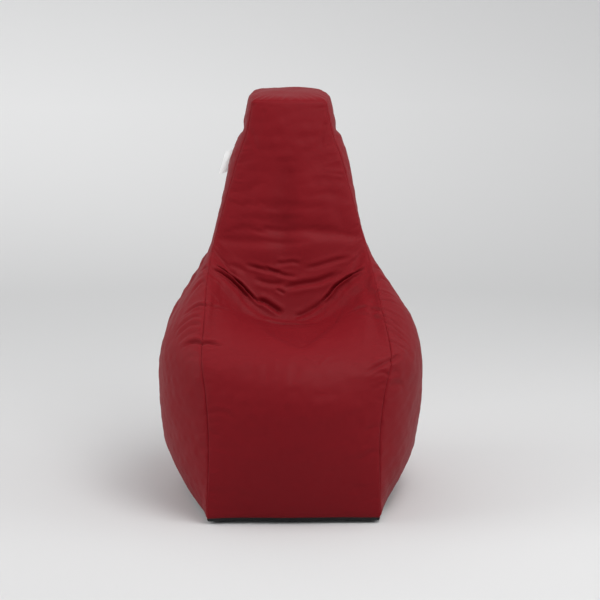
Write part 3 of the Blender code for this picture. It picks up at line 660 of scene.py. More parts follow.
def makeHardMaterial(name, c):
    # a fine mottle changes the colour and the roughness together, and a slow cloudiness the colour
    material, tree, shader = newMaterial(name)
    tone = useGroup(tree, toneGroup, Cloud_size=c["cloudSize"], Mottle_size=c["mottleSize"])
    level = mathNode(tree, "MULTIPLY_ADD", tone.outputs["Cloud"], c["cloud"], 0.5)
    level = mathNode(tree, "MULTIPLY_ADD", tone.outputs["Mottle"], c["mottle"], level)
    colourBetween(tree, shader, c["dark"], c["light"], level)
    rough = mathNode(tree, "MULTIPLY_ADD", tone.outputs["Mottle"], 0.25, c["roughness"])
    tree.links.new(rough, shader.inputs["Roughness"])
    bumpFrom(tree, shader, tone.outputs["Mottle"], c["bump"], c["mottleSize"] * 0.1)
    shader.inputs["Metallic"].default_value = c.get("metallic", 0.0)
    return material


nickel = makeHardMaterial("nickel", {
    "dark": (0.42, 0.41, 0.40), "light": (0.66, 0.65, 0.63), "roughness": 0.26, "metallic": 1.0,
    "cloudSize": 0.006, "mottleSize": 0.0008, "cloud": 0.5, "mottle": 0.5, "bump": 0.15})
coilNylon = makeHardMaterial("coilNylon", {
    "dark": (0.006, 0.006, 0.007), "light": (0.020, 0.020, 0.022), "roughness": 0.38,
    "cloudSize": 0.01, "mottleSize": 0.001, "cloud": 0.5, "mottle": 0.4, "bump": 0.1})
linerCoil = makeHardMaterial("linerCoil", {
    "dark": (0.55, 0.55, 0.53), "light": (0.75, 0.75, 0.73), "roughness": 0.38,
    "cloudSize": 0.01, "mottleSize": 0.001, "cloud": 0.5, "mottle": 0.4, "bump": 0.1})


def makeBeadMaterial(c):
    # packed foam beads: each cell of a Voronoi pattern is a small dome, painted darker towards its rim as
    # painted shade in the gap round it
    material, tree, shader = newMaterial("beads")
    place = addNode(tree, "ShaderNodeTexCoord").outputs["Object"]
    cells = addNode(tree, "ShaderNodeTexVoronoi", feature="F1")
    cells.inputs["Scale"].default_value = 1 / c["size"]
    tree.links.new(place, cells.inputs["Vector"])
    dome = mathNode(tree, "SUBTRACT", 1.0, mathNode(tree, "POWER", cells.outputs["Distance"], 2.0))
    # painted shade: the colour darkens from each bead's middle to the gap round it
    colourBetween(tree, shader, c["joint"], c["bead"], mathNode(tree, "POWER", dome, 1.6))
    bumpFrom(tree, shader, dome, 0.9, c["size"] * 0.5)
    shader.inputs["Roughness"].default_value = 0.62
    shader.inputs["Subsurface Weight"].default_value = 0.15
    shader.inputs["Subsurface Radius"].default_value = (0.004, 0.004, 0.004)
    return material


beads = makeBeadMaterial({"size": 0.0042, "bead": (0.86, 0.86, 0.85), "joint": (0.45, 0.45, 0.44)})


# the cover's panels

def ramp(v, start, end):
    f = np.clip((v - start) / (end - start), 0, 1)
    return f * f * (3 - 2 * f)


# cloth simulation of the cover's wall: the panels sewn into one tube, pinned along every seam and
# softly held to the drawn shape, with slack cloth where the neck folds down on to the seat

drape = {"rows": 144, "foldDensity": 0.5, "columns": {"front": 44, "back": 40}, "sideColumns": 34,
         "frames": 18, "slack": 0.05, "slackSteps": 20, "pressure": 1.0, "hold": 0.02,
         "start": 0.0006, "startNoise": (0.03, 12, 71), "limit": 0.010}
# bands of slack cloth: share, height up the bag and reach
slackBands = {"everywhere": 0.06, "waist": (1.0, 0.60, 0.080), "head": (0.25, 0.93, 0.04),
              "seat": (0.35, 0.47, 0.07), "hem": (0.20, 0.0, 0.10), "tautLip": (0.7, 0.27, 0.15)}


def slackShare(name, v, b):
    # most slack round the waist, some at the head, over the seat and at the hem; the front is
    # taut over the lip and up the neck
    def band(share, middle, reach):
        return share * np.exp(-((v - middle) / reach) ** 2)

    share = b["everywhere"] + band(*b["waist"]) + band(*b["head"]) + band(*b["seat"]) + band(*b["hem"])
    if name == "front":
        share = share * (1 - band(*b["tautLip"])) * (1 - 0.97 * ramp(v, 0.62, 0.68))
    elif name.startswith("back"):
        share = share * 1.25 + 0.10
    return np.clip(share, 0, 1)


def simulateWall(d):
    v = rowHeights(d["rows"], dict(coverGrid, foldDensity=d["foldDensity"]))
    strips, shares, seams = [], [], []
    for name in panelNames:
        count = d["columns"].get(name, d["sideColumns"])
        s, level = np.meshgrid(np.linspace(0, 1, count + 1)[:-1], v)
        strips.append(panelPoints(name, s, level))
        shares.append(slackShare(name, level, slackBands))
        seams.append(s == 0)
    wall, share, pinned = (np.concatenate(x, axis=1) for x in (strips, shares, seams))
    pinned[:2], pinned[-2:] = True, True
    away = gridNormals(np.concatenate([wall[:, -1:], wall, wall[:, :1]], axis=1))[:, 1:-1]
    start = wall + away * (d["start"] * softNoise(wall, *d["startNoise"]) * ~pinned)[..., None]
    mesh = newMesh("drapedWall", start, gridQuads(*wall.shape[:2], wrap=True))
    bag = bpy.data.objects.new("drapedWall", mesh)
    bpy.context.collection.objects.link(bag)
    hold, slack = bag.vertex_groups.new(name="hold"), bag.vertex_groups.new(name="slack")
    hold.add(np.flatnonzero(pinned).tolist(), 1.0, "REPLACE")
    hold.add(np.flatnonzero(~pinned).tolist(), d["hold"], "REPLACE")
    steps = d["slackSteps"]
    for level in range(1, steps + 1):
        slack.add(np.flatnonzero(np.round(share * steps) == level).tolist(), level / steps, "REPLACE")
    cloth = bag.modifiers.new("cloth", "CLOTH")
    c = cloth.settings
    c.quality = 5
    c.mass = 0.25
    c.tension_stiffness = c.compression_stiffness = 40
    c.shear_stiffness = 12
    c.tension_damping = c.compression_damping = c.shear_damping = 14
    c.bending_stiffness = 0.3
    c.bending_damping = 0.6
    c.vertex_group_mass = "hold"
    c.pin_stiffness = 5.0
    c.vertex_group_shrink = "slack"
    c.shrink_min, c.shrink_max = 0.0, -d["slack"]
    c.use_pressure = True
    c.uniform_pressure_force = d["pressure"]
    c.effector_weights.gravity = 0
    cloth.point_cache.frame_start, cloth.point_cache.frame_end = 1, d["frames"]
    for step in range(1, d["frames"] + 1):
        bpy.context.scene.frame_set(step)
    settled = np.empty(wall.size)
    graph = bpy.context.evaluated_depsgraph_get()
    bag.evaluated_get(graph).data.vertices.foreach_get("co", settled)
    bpy.context.scene.frame_set(1)
    bpy.data.objects.remove(bag)
    moved = settled.reshape(wall.shape) - wall
    size = np.linalg.norm(moved, axis=-1, keepdims=True)
    print("draped: mean move", round(size.mean() * 1000, 2), "mm, largest", round(size.max() * 1000, 1))
    return v, moved * d["limit"] * np.tanh(size / d["limit"]) / np.maximum(size, 1e-9)


def cubicPick(values, place):
    # Catmull-Rom between rows of values at fractional row numbers
    last = len(values) - 1
    place = np.clip(place, 0, last)
    i = np.minimum(place.astype(int), last - 1)
    f = (place - i).reshape((-1,) + (1,) * (values.ndim - 1))
    return catmullRom(*(values[np.clip(i + k, 0, last)] for k in (-1, 0, 1, 2)), f)


def drapeMoves(v, moved, d):
    # the simulated move of every point of every panel's fine grid; a column's share of the width
    # hardly changes from row to row, so the middle row's shares serve for all
    made, first = {}, 0
    looped = np.concatenate([moved, moved[:, :1]], axis=1)
    for name in panelNames:
        count = d["columns"].get(name, d["sideColumns"])
        tall = cubicPick(looped[:, first:first + count + 1], np.interp(rows, v, np.arange(len(v))))
        place = coverGrids[name]["s"] * count
        flat = cubicPick(np.swapaxes(tall, 0, 1).reshape(count + 1, -1), place[len(rows) // 2])
        made[name] = np.swapaxes(flat.reshape(-1, len(rows), 3), 0, 1)
        first += count
    return made


def blendSeams(grids):
    # at each seam both panels share one outward direction, halfway between their own
    for i, name in enumerate(panelNames):
        a, b = grids[name], grids[panelNames[(i + 1) % len(panelNames)]]
        shared = unit(a["normals"][:, -1] + b["normals"][:, 0])
        a["rightSeam"], b["leftSeam"] = shared, shared
    for grid in grids.values():
        nearLeft = grid["across"] < grid["width"] / 2
        seam = np.where(nearLeft[..., None], grid["leftSeam"][:, None], grid["rightSeam"][:, None])
        share = np.exp(-(grid["fromSeam"] / seamDetail["turnReach"]) ** 2)[..., None]
        grid["outward"] = unit(grid["normals"] * (1 - share) + seam * share)


# slow unevenness of the stuffed cloth: height, then the wavelength in metres, the number of waves and
# the seed of its noise
clothWaves = {"calmReach": 0.05, "slow": (0.0022, 0.24, 7, 5), "quick": (0.0007, 0.085, 9, 6)}


def coverPush(grid, seed):
    # how far each point moves along its outward direction
    push = np.zeros(grid["s"].shape)
    for fold in folds[grid["name"]]:
        pressFold(grid, push, fold, foldForm)
    # the folds' depths, kept for the painted shade in their grooves and the painted light on their swells
    creases = push.copy()
    calm = np.clip(grid["fromSeam"] / clothWaves["calmReach"], 0, 1)
    for height, *noise in (clothWaves["slow"], clothWaves["quick"]):
        push += height * softNoise(grid["points"], *noise) * calm
    push += seamPuckers(grid, 0, seamDetail, seed) + seamPuckers(grid, 1, seamDetail, seed + 1)
    # painted shade along the seam line, in the groove where the panels meet
    creases -= seamDetail["stitchShade"] * np.exp(-(grid["fromSeam"] / seamDetail["stitchReach"]) ** 2)
    return push, creases


def joinPushes(pushes, grids):
    # both sides of a seam take the mean of their two pushes, and lie in the seam's groove
    reach = seamDetail["joinReach"]
    for i, name in enumerate(panelNames):
        after = panelNames[(i + 1) % len(panelNames)]
        mean = (pushes[name][:, -1:] + pushes[after][:, :1]) / 2
        a, b = grids[name], grids[after]
        gapA, gapB = mean - pushes[name][:, -1:], mean - pushes[after][:, :1]
        pushes[name] = pushes[name] + gapA * np.exp(-((a["width"] - a["across"]) / reach) ** 2)
        pushes[after] = pushes[after] + gapB * np.exp(-(b["across"] / reach) ** 2)
    reach = seamDetail["sinkReach"]
    for name, grid in grids.items():
        edge = np.minimum(grid["up"], grid["up"].max() - grid["up"])
        groove = np.exp(-grid["fromSeam"] / reach) + np.exp(-edge / reach)
        pushes[name] = pushes[name] - seamDetail["sink"] * np.minimum(groove, 1)


def tuckEdge(points, outward, depth):
    # two more lines of points behind an edge: the seam allowance, turned in
    return points - outward * depth * 0.45, points - outward * depth


def withAllowance(points, normals, allowance):
    # the panel with its allowance on all four sides
    left = tuckEdge(points[:, 0], normals[:, 0], allowance)
    right = tuckEdge(points[:, -1], normals[:, -1], allowance)
    wide = np.concatenate([left[1][:, None], left[0][:, None], points,
                           right[0][:, None], right[1][:, None]], axis=1)
    facing = np.pad(normals, ((0, 0), (2, 2), (0, 0)), mode="edge")
    low = tuckEdge(wide[0], facing[0], allowance)
    high = tuckEdge(wide[-1], facing[-1], allowance)
    return np.concatenate([low[1][None], low[0][None], wide, high[0][None], high[1][None]])


def setCrease(mesh, values):
    attribute = mesh.attributes.new("crease", "FLOAT", "POINT")
    attribute.data.foreach_set("value", np.asarray(values, np.float32).ravel())


def panelMesh(name, points, normals, across, up, creases, allowance):
    # the cloth's own map is in metres across and up the panel, so that the weave keeps its scale
    whole = withAllowance(points, normals, allowance)
    uv = np.stack([np.pad(across, 2, mode="edge"), np.pad(up, 2, mode="edge")], -1)
    mesh = newMesh(name, whole, gridQuads(*whole.shape[:2]), uv=uv)
    setCrease(mesh, np.clip(np.pad(creases, 2, mode="edge"), -0.004, 0.004))
    return mesh


def cutAbove(grid, height, *values):
    # the rows above a height, with one more row just at it, taken between its two neighbours
    level = grid["points"][:, :, 2].mean(axis=1)
    first = int(np.argmax(level > height + 0.0008))
    share = (height - level[first - 1]) / (level[first] - level[first - 1])
    return [np.concatenate([(v[first - 1] + (v[first] - v[first - 1]) * share)[None], v[first:]])
            for v in values]


rows = rowHeights(coverGrid["rows"], coverGrid)
coverGrids = {name: panelGrid(name, rows, coverGrid["columns"][name], coverGrid["edgeSteps"])
              for name in panelNames}
blendSeams(coverGrids)
coverPushes, coverCreases = {}, {}
for i, name in enumerate(panelNames):
    coverPushes[name], coverCreases[name] = coverPush(coverGrids[name], 100 + 10 * i)
joinPushes(coverPushes, coverGrids)
coverPoints = {name: grid["points"] + grid["outward"] * coverPushes[name][..., None]
               for name, grid in coverGrids.items()}
for name, move in drapeMoves(*simulateWall(drape), drape).items():
    coverPoints[name] = coverPoints[name] + move


zipGap = 0.0003         # between a hem and the zip tape below it
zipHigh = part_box("zip_tape_upper")[1].z + zipGap


def makeCoverPanel(name):
    grid = coverGrids[name]
    parts = [coverPoints[name], grid["normals"], grid["across"] - grid["width"] / 2, grid["up"],
             coverCreases[name]]
    if name == "back":      # its hem stops above the zip
        parts = cutAbove(grid, zipHigh, *parts)
    mesh = panelMesh(name + "Panel", *parts, coverGrid["allowance"])
    piece = addPiece(name + "Panel", mesh, coverCloth, "bag", [cadNames[name] + "_panel"])


for name in panelNames:
    makeCoverPanel(name)
print("cover panels", sum(p.shape[0] * p.shape[1] for p in coverPoints.values()), "points")


# rings of points round the bag, and the cap and the base that close it. A noise entry is a
# wavelength in metres, a number of waves and a seed

def ringMesh(name, rings, uv, lowPole=False, highPole=False):
    # rings run anticlockwise seen from above and follow each other upwards or outwards; a pole
    # closes the first or the last of them with a fan
    count, around = rings.shape[:2]
    points, flatUv = rings.reshape(-1, 3), uv.reshape(-1, 2)
    turn = np.arange(around)
    after = (turn + 1) % around
    fans = []
    for wanted, ring, flip in ((lowPole, 0, True), (highPole, count - 1, False)):
        if wanted:
            middle = np.full(around, len(points))
            pair = (after, turn) if flip else (turn, after)
            fans.append(np.stack([ring * around + pair[0], ring * around + pair[1], middle], -1))
            points = np.concatenate([points, rings[ring].mean(axis=0)[None]])
            flatUv = np.concatenate([flatUv, uv[ring].mean(axis=0)[None]])
    triangles = np.concatenate(fans) if fans else None
    return newMesh(name, points, gridQuads(count, around, wrap=True), uv=flatUv, triangles=triangles)


def seamRing(points, row):
    # one row of all six panels, joined into a ring
    return np.concatenate([points[name][row, :-1] for name in panelNames])


capShape = {"dome": 0.017, "rings": 44, "flatness": 2.6, "roundness": 0.62, "ripple": 0.0008,
            "rippleReach": 0.08, "rippleNoise": (0.016, 9, 44), "wrinkle": 0.0016,
            "wrinkleNoise": (0.10, 7, 41), "allowance": 0.006}
baseShape = {"flatShare": 0.88, "curl": 12, "flatRings": 30, "wave": 0.0012, "waveNoise": (0.09, 6, 43)}


def addClosing(name, rings, seen, seam, held, finish, **poles):
    # the sheet of a cap or a base; seen, its rings without the allowance, is not used
    material, node, slot = finish
    mesh = ringMesh(name, rings, rings[..., :2].copy(), **poles)
    setCrease(mesh, np.zeros(len(mesh.vertices)))
    piece = addPiece(name, mesh, material, "bag", [node])


def makeCap(name, seam, s, finish):
    # each point slides from the seam to the middle and rises by dome * (1 - r^flatness)^roundness
    middle = seam.mean(axis=0)
    r = np.cos(np.linspace(0, math.pi / 2, s["rings"] + 1)[:-1])[:, None]
    rings = middle + (seam[None] - middle) * r[..., None]
    x = (1 - r) / s["rippleReach"]
    ripple = s["ripple"] * x * np.exp(1 - x) * softNoise(seam * [1, 1, 0], *s["rippleNoise"])[None]
    wrinkle = s["wrinkle"] * softNoise(rings * [1, 1, 0], *s["wrinkleNoise"]) * (1 - r**4)
    rings[..., 2] += s["dome"] * (1 - r ** s["flatness"]) ** s["roundness"] + ripple + wrinkle
    tuck = np.stack([seam - [0, 0, s["allowance"]], seam - [0, 0, s["allowance"] * 0.5]])
    addClosing(name, np.concatenate([tuck, rings]), rings, seam, "stretched", finish, highPole=True)


def makeBase(name, seam, floor, s, finish):
    # flat rings on the floor, then a quarter of an ellipse up to the seam
    middle = seam.mean(axis=0)
    flat = np.linspace(0.03, s["flatShare"], s["flatRings"])[:, None]
    turn = np.linspace(0, math.pi / 2, s["curl"] + 1)[1:, None]
    r = np.concatenate([flat, s["flatShare"] + (1 - s["flatShare"]) * np.sin(turn)])
    lift = np.concatenate([flat * 0, 1 - np.cos(turn)])
    rings = middle + (seam[None] - middle) * r[..., None]
    rings[..., 2] = floor + (seam[None, :, 2] - floor) * lift
    wave = s["wave"] * softNoise(rings, *s["waveNoise"]) * 4 * lift * (1 - lift)
    rings[..., 2] += np.maximum(wave, -0.5 * (rings[..., 2] - floor))
    addClosing(name, rings, rings, seam, "laid", finish, lowPole=True)


makeCap("topCap", seamRing(coverPoints, -1), capShape, (coverCloth, "top_cap", "cover_cloth"))
makeBase("basePanel", seamRing(coverPoints, 0), 0.0, baseShape, (baseCloth, "base_panel", "base_cloth"))


# the inner bag and its filling, which follow the finished cover from inside

linerShape = {"inset": 0.014, "rowStep": 4, "columnStep": 3, "clearColumns": 9, "wrinkle": 0.0011,
              "wrinkleNoise": (0.045, 12, 51), "calmReach": 0.03, "allowance": 0.004, "floor": 0.005}
linerCap = dict(capShape, ripple=0.0004, rings=30, allowance=0.004)
fillShape = {"inset": 0.0215, "rowStep": 3, "columnStep": 3, "clearColumns": 10, "floorRings": 24,
             "domeRings": 24, "dome": 0.020, "flatness": 2.3, "lump": 0.0006, "coarseNoise": (0.03, 14, 61),
             "fineNoise": (0.009, 16, 62), "floor": 0.0115, "flatShare": 0.88, "round": 2.4}


def every(count, step, clear):
    # row or column numbers: both ends, and in between every step-th one
    inner = np.arange(clear, count - clear, step)
    return np.concatenate([[0], inner, [count - 1]])


def insetPanel(name, s):
    # the cover moved inwards, level near both ends, its base seam raised and its cap seam lowered
    grid = coverGrids[name]
    rowPick = every(len(rows), s["rowStep"], s["rowStep"])
    columnPick = every(grid["s"].shape[1], s["columnStep"], s["clearColumns"])
    pick = np.ix_(rowPick, columnPick)
    away = grid["outward"][pick].copy()
    v = rows[rowPick][:, None]
    away[..., 2] *= ramp(v, 0.0, 0.15) * (1 - ramp(v, 0.85, 1.0))
    moved = coverPoints[name][pick] - away * s["inset"]
    moved[..., 2] += 0.45 * s["inset"] * (1 - ramp(v, 0.0, 0.1)) - s["inset"] * ramp(v, 0.93, 1.0)
    return moved, (grid["across"] - grid["width"] / 2)[pick], grid["up"][pick]


def makeLiner(s):
    made = {}
    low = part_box("liner_zip_tape_upper")[1].z + zipGap
    for name in panelNames:
        points, across, up = insetPanel(name, s)
        fromEdge = np.minimum(across - across[:, :1], across[:, -1:] - across)
        fromEnd = np.minimum(up, up.max() - up)
        calm = np.clip(fromEdge / s["calmReach"], 0, 1) * np.clip(fromEnd / s["calmReach"], 0, 1)
        wrinkle = s["wrinkle"] * (softNoise(points, *s["wrinkleNoise"]) * calm - 1) * calm
        normals = gridNormals(points)
        points = points + normals * wrinkle[..., None]
        made[name] = points
        parts = [points, normals, across, up, across * 0]
        if name == "back":
            parts = cutAbove({"points": points}, low, *parts)
        title = "liner" + name[0].upper() + name[1:] + "Panel"
        mesh = panelMesh(title, *parts, s["allowance"])
        piece = addPiece(title, mesh, linerCloth, "bag", [f"liner_{cadNames[name]}_panel"])
    makeCap("linerTopCap", seamRing(made, -1), linerCap, (linerCloth, "liner_top_cap", "liner_cloth"))
    makeBase("linerBasePanel", seamRing(made, 0), s["floor"], baseShape,
             (linerCloth, "liner_base_panel", "liner_cloth"))


def makeFilling(s):
    # one closed body: flat underneath, the bag's wall, and a dome inside the cap, lumpy all over
    walls = {name: insetPanel(name, s)[0] for name in panelNames}
    wall = np.stack([seamRing(walls, r) for r in range(len(walls["front"]))])
    low, high = wall[0], wall[-1]
    r = np.linspace(0.04, s["flatShare"], s["floorRings"])[:, None, None]
    floor = low.mean(axis=0) + (low - low.mean(axis=0)) * r
    floor[..., 2] = s["floor"]
    turn = np.linspace(0, math.pi / 2, s["domeRings"] + 2)[1:-1, None, None]
    dome = high.mean(axis=0) + (high - high.mean(axis=0)) * np.cos(turn)
    dome[..., 2:] += s["dome"] * (1 - np.cos(turn) ** s["flatness"]) ** capShape["roundness"]
    rings = np.concatenate([floor, wall, dome])
    away = gridNormals(np.concatenate([rings, rings[:, :1]], axis=1))[:, :-1]
    lumps = 0.6 * softNoise(rings, *s["coarseNoise"]) + 0.4 * softNoise(rings, *s["fineNoise"])
    rings = rings + away * (s["lump"] * (lumps - 1))[..., None]
    rings[:len(floor), :, 2] = s["floor"]
    distance = np.arange(rings.shape[1]) / rings.shape[1] * s["round"]      # about the way round the bag
    uv = np.stack(np.broadcast_arrays(distance[None], rings[..., 2]), -1)
    piece = addPiece("beadFilling", ringMesh("beadFilling", rings, uv, True, True), beads, "bag",
                     ["bead_filling"])


makeLiner(linerShape)
makeFilling(fillShape)
print("liner and filling done")


# the label: a blank woven ribbon folded double and sewn into the left side seam

labelShape = {"width": 0.025, "height": 0.070, "lean": 17, "curl": -0.015, "wave": 0.0016,
              "halfGap": 0.0005, "foldShare": 0.06, "seamShare": 0.875, "lap": 0.004}


def makeLabel(s):
    # out along the front layer, round the fold and back along the rear layer; t is -1 and 1 at
    # the seam and 0 at the fold, and the free end curls back with the square of its distance
    t = np.linspace(-1, 1, 61)[None, :]
    h = np.linspace(-0.5, 0.5, 41)[:, None]
    run = s["lap"] + s["width"]
    out = run * (1 - np.abs(t)) - s["lap"]
    free = np.clip(out / s["width"], 0, 1)
    layer = s["halfGap"] * np.sin(np.clip(t / s["foldShare"], -1, 1) * math.pi / 2)
    bend = s["curl"] * free**2 * (1 + h) + s["wave"] * np.sin(7 * h + 1.2) * free
    lean = math.radians(s["lean"])
    seam = seamLine("sideSeam", -1, np.array([s["seamShare"]]))[0] * frameScale
    x = seam[0] - out * math.cos(lean) + h * s["height"] * math.sin(lean)
    z = seam[2] - out * math.sin(lean) + h * s["height"] * math.cos(lean)
    points = np.stack(np.broadcast_arrays(x, seam[1] + layer - bend, z), -1)
    uv = np.stack(np.broadcast_arrays(t * run, h * s["height"]), -1)
    mesh = newMesh("sideLabel", points, gridQuads(*points.shape[:2])[:, ::-1], uv=uv)
    setCrease(mesh, np.zeros(len(mesh.vertices)))
    piece = addPiece("sideLabel", mesh, labelCloth, "bag", ["side_label"])


makeLabel(labelShape)


# the zips. Everything on them is a tube along a line, or a plate with rounded edges

rimSteps = 4        # points round each rounded rim


def tubeRings(line, out, halfOut, halfSide, sides, shut=False):
    # an ellipse round each point of the line: halfOut along out, halfSide across it
    ahead = np.roll(line, -1, 0) - np.roll(line, 1, 0) if shut else np.gradient(line, axis=0)
    tangent = unit(ahead)
    out = unit(out - (out * tangent).sum(-1, keepdims=True) * tangent)
    side = np.cross(tangent, out)
    b = np.linspace(0, 2 * math.pi, sides, endpoint=False)[None, :, None]
    return line[:, None] + halfOut * np.cos(b) * out[:, None] + halfSide * np.sin(b) * side[:, None]


def plateRings(outline, low, high, edge):
    # the outline drawn in by edge * (1 - cos) and raised by edge * sin, round both of its rims
    ahead = np.roll(outline, -1, 0) - np.roll(outline, 1, 0)
    inwards = unit(np.stack([-ahead[:, 1], ahead[:, 0]], -1))
    a = np.linspace(0, math.pi / 2, rimSteps)
    draw = np.concatenate([edge * (1 - np.sin(a)), edge * (1 - np.cos(a))])
    level = np.concatenate([low + edge * (1 - np.cos(a)), high - edge * (1 - np.sin(a))])
    flat = outline[None] + inwards[None] * draw[:, None, None]
    return np.concatenate([flat, np.broadcast_to(level[:, None, None], flat.shape[:2] + (1,))], -1)


def holedRings(outline, hole, thick, edge):
    # a plate with a round hole: its section runs out along the bottom, and back over the top
    a = np.linspace(0, math.pi / 2, rimSteps)
    half = thick / 2
    span = np.linalg.norm(outline - hole, axis=1)[:, None]
    low, high = edge * (1 - np.sin(a)) / span, edge * (1 - np.cos(a)) / span
    share = np.concatenate([1 - low, 1 - high, high, low], axis=1)
    rise = [-half + edge * (1 - np.cos(a)), half - edge * (1 - np.sin(a))]
    level = np.concatenate([*rise, rise[1][::-1], rise[0][::-1]])
    flat = hole[:, None] + (outline - hole)[:, None] * share[..., None]
    rings = np.concatenate([flat, np.broadcast_to(level[None, :, None], flat.shape[:2] + (1,))], -1)
    return np.swapaxes(rings, 0, 1)


def roundedRectangle(halfLong, halfWide, radius, perCorner=6):
    a = np.linspace(0, math.pi / 2, perCorner)
    corners = [(1, 1, 0), (-1, 1, 1), (-1, -1, 2), (1, -1, 3)]
    return np.concatenate([np.stack([sx * (halfLong - radius) + radius * np.cos(a + q * math.pi / 2),
                                     sy * (halfWide - radius) + radius * np.sin(a + q * math.pi / 2)], -1)
                           for sx, sy, q in corners])


def onZip(rings, at, z):
    # plate axes (along the zip, downwards, outwards) into the frame
    return np.stack([at + rings[..., 0], rings[..., 2], z - rings[..., 1]], -1)


def lengthUv(rings):
    # distance along the rings and round them, so that a weave keeps its scale
    step = np.linalg.norm(np.diff(rings.mean(axis=1), axis=0), axis=-1)
    distance = np.concatenate([[0], np.cumsum(step)])[:, None]
    turn = np.linalg.norm(rings - np.roll(rings, 1, axis=1), axis=-1).cumsum(axis=1)
    return np.stack(np.broadcast_arrays(distance, turn), -1)


def joinedPiece(name, parts, material, body, replaced):
    # several closed forms in one mesh; each part is its rings and whether they close on themselves
    meshes = []
    for i, (rings, shut) in enumerate(parts):
        if shut:
            count, around = rings.shape[:2]
            quads = gridQuads(count + 1, around, wrap=True) % (count * around)
            meshes.append(newMesh(f"{name}{i}", rings, quads, uv=lengthUv(rings)))
        else:
            meshes.append(ringMesh(f"{name}{i}", rings, lengthUv(rings), True, True))
    whole = bmesh.new()
    for mesh in meshes:
        whole.from_mesh(mesh)
        bpy.data.meshes.remove(mesh)
    joined = bpy.data.meshes.new(name)
    whole.to_mesh(joined)
    whole.free()
    setSmooth(joined)
    return addPiece(name, joined, material, body, replaced)


zipShape = {
    "coilPitch": 0.0016, "wire": 0.00034, "samples": 12, "sides": 6,
    "tapeEdge": 0.00025, "tapeWave": 0.00012, "tapeSamples": 170,
    "stopCorner": 0.0006, "stopEdge": 0.0005,
    # the slider: clear of the tape and the coils, its parts let into each other by lap
    "clear": 0.0004, "lap": 0.0003, "plate": 0.0012, "plateCorner": 0.0032, "plateEdge": 0.00045,
    "narrowing": 0.10, "neckFrom": 0.0010, "neckTo": 0.0050, "neckHalf": 0.0005, "neckEdge": 0.0001,
    "flange": 0.0010, "flangeShort": 0.0022, "flangeIn": 0.00005, "flangeEdge": 0.0002, "corner": 0.0004,
    "bailHalf": 0.0028, "bailThick": 0.0006, "bailWide": 0.0012, "bailHigh": 0.0028, "bailSink": 0.0002,
    "bailLift": 0.0005,     # the section faces away from a point this far under the feet
    # the puller: a loop, and a tab with a hole near its tip
    "eyeLong": 0.0062, "eyeHalf": 0.0029, "eyeCorner": 0.0014, "eyeWire": 0.0007, "pullerLong": 0.034,
    "pullerHalf": 0.0046, "pullerThick": 0.0012, "pullerEdge": 0.0004, "waistShare": 0.22,
    "holeRadius": 0.0024,
}


def makeCoil(name, node, material, slot, s):
    # a helix along the zip inside its node's box, as wide and as high as the box allows
    low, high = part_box(node)
    count = int((high.x - low.x) / s["coilPitch"]) * s["samples"]
    turns = np.linspace(0, (high.x - low.x - 2 * s["wire"]) / s["coilPitch"] * 2 * math.pi, count)
    out = np.stack([0 * turns, np.cos(turns), np.sin(turns)], -1)
    halfY, halfZ = (high.y - low.y) / 2 - s["wire"], (high.z - low.z) / 2 - s["wire"]
    line = out * [0, halfY, halfZ]
    line[:, 0] = low.x + s["wire"] + turns / (2 * math.pi) * s["coilPitch"]
    line[:, 1:] += [(high.y + low.y) / 2, (high.z + low.z) / 2]
    rings = tubeRings(line, out, s["wire"], s["wire"], s["sides"])
    joinedPiece(name, [(rings, False)], material, "bag", [node])


def makeTape(name, node, material, s):
    # a rounded strip the size of its node's box, very slightly wavy
    low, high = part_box(node)
    section = roundedRectangle((high.z - low.z) / 2, (high.y - low.y) / 2, s["tapeEdge"], 4)
    x = np.linspace(low.x, high.x, s["tapeSamples"])
    wave = s["tapeWave"] * np.sin(x * 190) * np.sin(x * 43)
    y = (low.y + high.y) / 2 + section[None, :, 1] + wave[:, None]
    z = (low.z + high.z) / 2 + section[None, :, 0]
    rings = np.stack(np.broadcast_arrays(x[:, None], y, z), -1)[:, ::-1]
    joinedPiece(name, [(rings, False)], material, "bag", [node])


def makeStop(name, node, material, slot, s):
    # a small block with rounded corners and rims, as large as its node's box
    low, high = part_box(node)
    outline = roundedRectangle((high.x - low.x) / 2, (high.z - low.z) / 2, s["stopCorner"])
    rings = plateRings(outline, low.y, high.y, s["stopEdge"])
    rings = onZip(rings, (low.x + high.x) / 2, (low.z + high.z) / 2)
    joinedPiece(name, [(rings, False)], material, "bag", [node])


